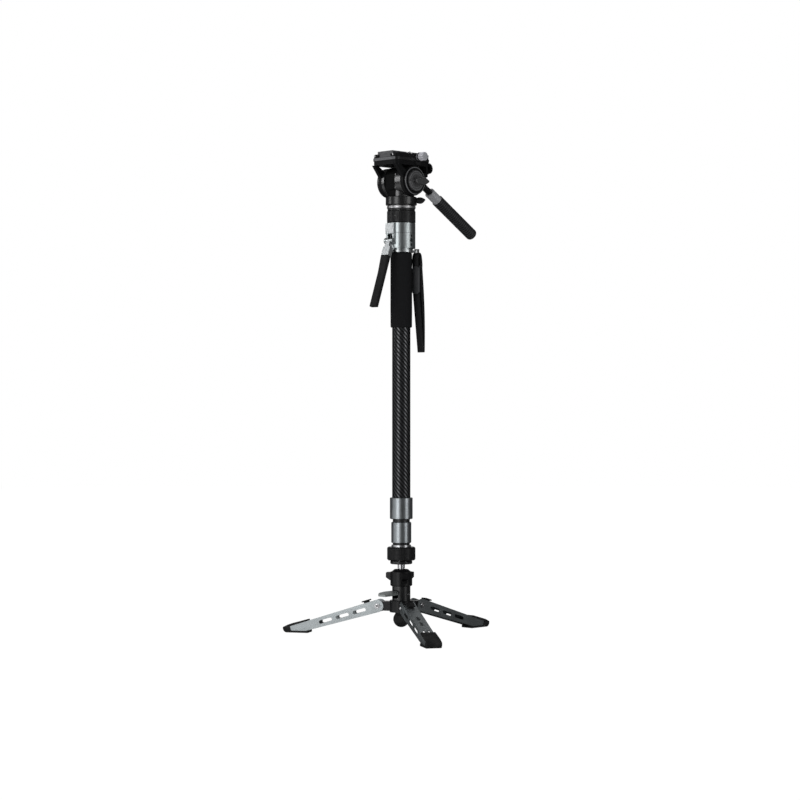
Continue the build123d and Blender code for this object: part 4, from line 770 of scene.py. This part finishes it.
stitch = (0.0004, 0.0018, 0.0003)
stitch_pitch = 0.0027
stitch_count = 9
seam_half_width = 0.0058
seam_start = 0.04
stitches_proud = Vector((0, -0.00128, 0))
stitch_thread = Finish("stitching_thread", (0.035, 0.035, 0.036), 0.6, 0.0, Specular_IOR_Level=0.3)
stitch_thread.relief(stitch_thread.grain(6000, 1), 0.00005, 0.4)
up_band = (strap_top - strap_foot).normalized()
across_band = (Vector((1, 0, 0)) - up_band * up_band.x).normalized()
on_band = Matrix((across_band, up_band, across_band.cross(up_band))).transposed().to_4x4()
for side, hand in ((-1, "left"), (1, "right")):
    row_start = strap_foot.lerp(strap_top, seam_start) + across_band * side * seam_half_width + stitches_proud
    repeated("strap_stitches_" + hand, "row", stitch_count, stitch_pitch, stitch,
             Matrix.Translation(row_start) @ on_band, stitch_thread.material, "strap")

# Lock ring: cast, knurled and painted black, it clamps the head to the column. An index dot is
# set in its near side and painted grey.
black.dress("head_lock_ring")
dot_r = 0.0011
dot_sunk = 0.0004
dot_proud = 0.0001
dot_bearing = 19
dot_z = 0.6862
dot_paint = Finish("index_dot_paint", (0.10, 0.10, 0.10), 0.6)
dot_outline = [(on_axis, -dot_sunk), (dot_r, -dot_sunk), (dot_r, dot_proud), (on_axis, dot_proud)]
lock_ring_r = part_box("head_lock_ring")[1].x
dot_place = facing(compass(dot_bearing, lock_ring_r, dot_z), compass(dot_bearing, 1))
index_dot = lathe("lock_ring_dot", dot_outline, dot_paint.material, dot_place, 24)
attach(index_dot, "lock_ring")

# Head adapter: a turned aluminium disc with the stud that holds the head. Its upper step is left
# bright and the lower one is blacked.
adapter_bright = (0.52, 0.52, 0.53)
adapter_step = 0.0129
adapter_top_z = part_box("head_adapter")[1].z
adapter_metal = blacked(Finish("adapter_metal", adapter_bright, 0.4, 1.0), adapter_bright,
                        adapter_top_z - adapter_step, adapter_top_z)
adapter_metal.dress("head_adapter")

# Pan base: a turned ring with the head's spindle, in the same glossy paint as the hub's barrel.
# A moulded wing screw on its side locks the pan.
gloss_paint.dress("pan_base")
plastic.dress("pan_lock_wing")

# Drum of the fluid head: a casting in glossy black, with a matt flat machined across its front
# that is painted darker as shade. A steel axle runs through it from one tilt cap to the other.
flat_left = -0.016
flat_right = 0.007
drum_paint = Finish("glossy_drum_paint", (0.006, 0.006, 0.0065), 0.4, 0.0, Specular_IOR_Level=0.12,
                    Coat_Roughness=0.26, Coat_IOR=1.8)
across_drum = drum_paint.along("X")
matt_flat_with_painted_shade = (across_drum > flat_left) * (across_drum < flat_right)
# The flat's darker colour is painted shade; it is matt because it has no coat and more roughness
drum_paint.tint(matt_flat_with_painted_shade, (0.008, 0.008, 0.0085), (0.003, 0.003, 0.003))
drum_paint.feed("Coat Weight", 1.0 - matt_flat_with_painted_shade)
drum_paint.feed("Roughness", matt_flat_with_painted_shade * 0.3 + drum_paint.grain(700, 2) * 0.1 + 0.35)
drum_paint.dress("head_tower")
steel.dress("tilt_axle")

# Platform: one casting with its side plates, painted flatter because its faces are left as cast.
# A band round its sides is black, with a pale painted highlight along its front edge.
deck_paint = Finish("flat_deck_paint", (0.006, 0.006, 0.0065), 0.5, 0.0, Specular_IOR_Level=0.12)
deck_paint.relief(deck_paint.grain(900, 3), 0.0001, 0.4)
deck_paint.dress("platform_yoke")
painted_highlight_front_y = -0.0395
band_paint = Finish("platform_band", (0.006, 0.006, 0.0065), 0.35, 0.0, Specular_IOR_Level=0.4)
# The band's pale front edge is a painted highlight
band_paint.tint(band_paint.along("Y") < painted_highlight_front_y, (0.008, 0.008, 0.0085), (0.10, 0.10, 0.104))
band_paint.feed("Roughness", band_paint.grain(900, 2) * 0.2 + 0.3)
band_paint.dress("platform_trim")

# Two socket screws hold the band in front, and two studs stand on the deck beside the plate
deck_screw_r = 0.0014
deck_screw_x = 0.0205
deck_screw_y = -0.0400
deck_screw_z = 0.7836
for side, hand in ((-1, "left"), (1, "right")):
    socket_screw("deck_screw_" + hand, deck_screw_r,
                 Vector((side * deck_screw_x, deck_screw_y, deck_screw_z)), (0, -1, 0), "platform")
stud_r = 0.0017
stud_top_r = 0.0013
stud_sunk = 0.0004
stud_height = 0.0026
stud_chamfer = 0.0005
stud_x = 0.0225
deck_z = 0.7870
stud_outline = [(on_axis, -stud_sunk), (stud_r, -stud_sunk), (stud_r, stud_height - stud_chamfer),
                (stud_top_r, stud_height), (on_axis, stud_height)]
for name, stud_y in (("front", -0.0085), ("rear", 0.0015)):
    stud = lathe("deck_stud_" + name, stud_outline, screw_steel.material,
                 Matrix.Translation((stud_x, stud_y, deck_z)), 24)
    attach(stud, "platform")

# Tilt caps and knob: the caps over the yoke's hubs are painted like the castings, and the knob is
# a smoother satin plastic. Moulded rings stand round both, and short marks round the knob, pale as a painted
# highlight.
black.dress("tilt_caps")
knob_plastic = Finish("satin_knob_plastic", (0.032, 0.032, 0.033), 0.38, 0.0, Specular_IOR_Level=1.0,
                      Coat_Weight=0.8, Coat_Roughness=0.3)
knob_plastic.feed("Roughness", knob_plastic.grain(1500, 2) * 0.14 + 0.3)
knob_plastic.dress("tilt_knob")
# Rings and marks are pale grey, a painted highlight along their edges
ridge_painted_highlight = Finish("raised_ring_painted_highlight", (0.12, 0.12, 0.122), 0.34, 0.0, Specular_IOR_Level=0.8)
ridge_painted_highlight.feed("Roughness", ridge_painted_highlight.grain(1500, 2) * 0.14 + 0.26)
caps_low, caps_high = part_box("tilt_caps")
tilt_z = (caps_low.z + caps_high.z) / 2
knob_proud = 0.0031
ring_sides = 10
cap_place = facing((caps_high.x, 0, tilt_z), (1, 0, 0))
knob_place = facing((caps_high.x + knob_proud, 0, tilt_z), (1, 0, 0))
for name, radius, thickness, place, body, slot in (
        ("cap_ring", 0.0218, 0.0008, cap_place, "platform", "black_paint"),
        ("knob_ring_outer", 0.0150, 0.0007, knob_place, "tilt_lock", "black_plastic"),
        ("knob_ring_inner", 0.0114, 0.0006, knob_place, "tilt_lock", "black_plastic")):
    section = []
    for side in range(ring_sides):
        angle = 2 * math.pi * side / ring_sides
        section.append((radius + thickness * math.cos(angle), thickness * math.sin(angle)))
    raised_ring = lathe(name, section, ridge_painted_highlight.material, place)
    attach(raised_ring, body)
mark_count = 22
mark_ring_r = 0.0135
mark = (0.0022, 0.0007, 0.0007)
repeated("knob_finger_marks", "ring", mark_count, mark_ring_r, mark, knob_place, ridge_painted_highlight.material,
         "tilt_lock")

# Pan handle: a black painted arm on the far rosette, held by a steel bolt. A peened metal collar
# takes the grip, which is rubber moulded with fine rings across its length.
black.dress("handle_arm")
steel.dress("handle_bolt")
peened = Finish("peened_handle_metal", (0.40, 0.40, 0.41), 0.45, 0.3)
peen = peened.grain(1100, 3)
peened.tint(peen, (0.34, 0.34, 0.35), (0.50, 0.50, 0.51))
peened.relief(peen, 0.0002, 0.6)
peened.dress("handle_collar")
grip_ring_pitch = 0.0043
grip_low, grip_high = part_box("handle_grip")
grip_run = Vector((0, grip_high.y - grip_low.y, grip_low.z - grip_high.z)).normalized()
grip_rubber = Finish("ribbed_grip_rubber", (0.014, 0.014, 0.015), 0.5, 0.0, Specular_IOR_Level=0.45)
down_grip = grip_rubber.along("Y") * grip_run.y + grip_rubber.along("Z") * grip_run.z
grip_rings = (down_grip * (2 * math.pi / grip_ring_pitch)).sine() * 0.5 + 0.5
grip_rubber.tint(grip_rings.ramp(0.1, 0.6), (0.006, 0.006, 0.0065), (0.028, 0.028, 0.030))
grip_rubber.relief(grip_rings, 0.0003, 0.6)
grip_rubber.dress("handle_grip")

# Quick plate: an aluminium slide, anodised dark grey, with the tooling's fine lines along it, and
# with a steel camera screw and locating pin. Two ribbed rubber pads keep the camera from turning.
steel.dress("camera_screw", "locating_pin")
plate_grey = Finish("dark_grey_anodised", (0.055, 0.055, 0.057), 0.4, 0.0, Specular_IOR_Level=0.5)
tooling = plate_grey.grain(500, 2, (1, 0.04, 1))
plate_grey.tint(tooling, (0.045, 0.045, 0.047), (0.065, 0.065, 0.068))
plate_grey.feed("Roughness", tooling * 0.2 + 0.3)
plate_grey.dress("quick_plate")
pad_rubber = Finish("pad_rubber", (0.02, 0.02, 0.02), 0.7, 0.0, Specular_IOR_Level=0.25)
pad_rubber.relief(pad_rubber.grain(1400, 3), 0.0001, 0.5)
plate_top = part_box("quick_plate")[1].z
pad_half_width = 0.0150
pad_sunk = 0.0002
pad_proud = 0.0003
pad_rib = (0.0280, 0.0008, 0.0006)
pad_rib_pitch = 0.0018
pad_rib_rise = 0.0004
pad_margin = 0.0012
for name, start, stop in (("front", -0.0355, -0.0175), ("rear", 0.0235, 0.0375)):
    slab("plate_pad_" + name, (-pad_half_width, start, plate_top - pad_sunk),
         (pad_half_width, stop, plate_top + pad_proud), broken_edge, pad_rubber.material, "plate")
    ribs_on_pad = int((stop - start - pad_margin) / pad_rib_pitch)
    first_rib = start + (stop - start - (ribs_on_pad - 1) * pad_rib_pitch) / 2
    rib_place = Matrix.Translation((0, first_rib, plate_top + pad_rib_rise))
    repeated("plate_ribs_" + name, "row", ribs_on_pad, pad_rib_pitch, pad_rib, rib_place,
             pad_rubber.material, "plate")

# Clamp knob: bright anodised aluminium, turned with a flange and knurled straight for the fingers.
# The knurl is a ring of small ridges round the barrel. A plastic button beside it frees the plate.
plastic.dress("safety_button")
clamp_low, clamp_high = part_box("clamp_knob")
clamp_r = 0.006
clamp_length = 0.0124
clamp_start = clamp_high.x - clamp_length
groove_half_width = 0.0010
clamp_barrel = Finish("clamp_barrel_metal", (0.30, 0.30, 0.32), 0.4, 0.3)
along_clamp = clamp_barrel.along("X")
# A dark ring at the foot of the knurl is painted shade in the groove
groove_painted_shade = (along_clamp > clamp_start - groove_half_width) * (along_clamp < clamp_start + groove_half_width)
clamp_barrel.tint(groove_painted_shade, (0.42, 0.42, 0.44), (0.03, 0.03, 0.032))
clamp_barrel.dress("clamp_knob")
knurl_metal = Finish("bright_knurled_metal", (0.80, 0.79, 0.82), 0.4, 0.35)
knurl_metal.tint(knurl_metal.grain(900, 3), (0.84, 0.83, 0.88), (0.96, 0.95, 0.98))
knurl_metal.feed("Roughness", knurl_metal.grain(2400, 2) * 0.2 + 0.3)
knurl_count = 14
knurl_ridge = (0.0012, 0.0015, 0.0094)
knurl_proud = 0.0003
knurl_middle = 0.0066
clamp_centre = (clamp_low + clamp_high) / 2
clamp_place = facing((clamp_start, clamp_centre.y, clamp_centre.z), (1, 0, 0))
knurl_place = clamp_place @ Matrix.Translation((0, 0, knurl_middle))
repeated("clamp_knurl", "ring", knurl_count, clamp_r + knurl_proud, knurl_ridge, knurl_place,
         knurl_metal.material, "clamp")
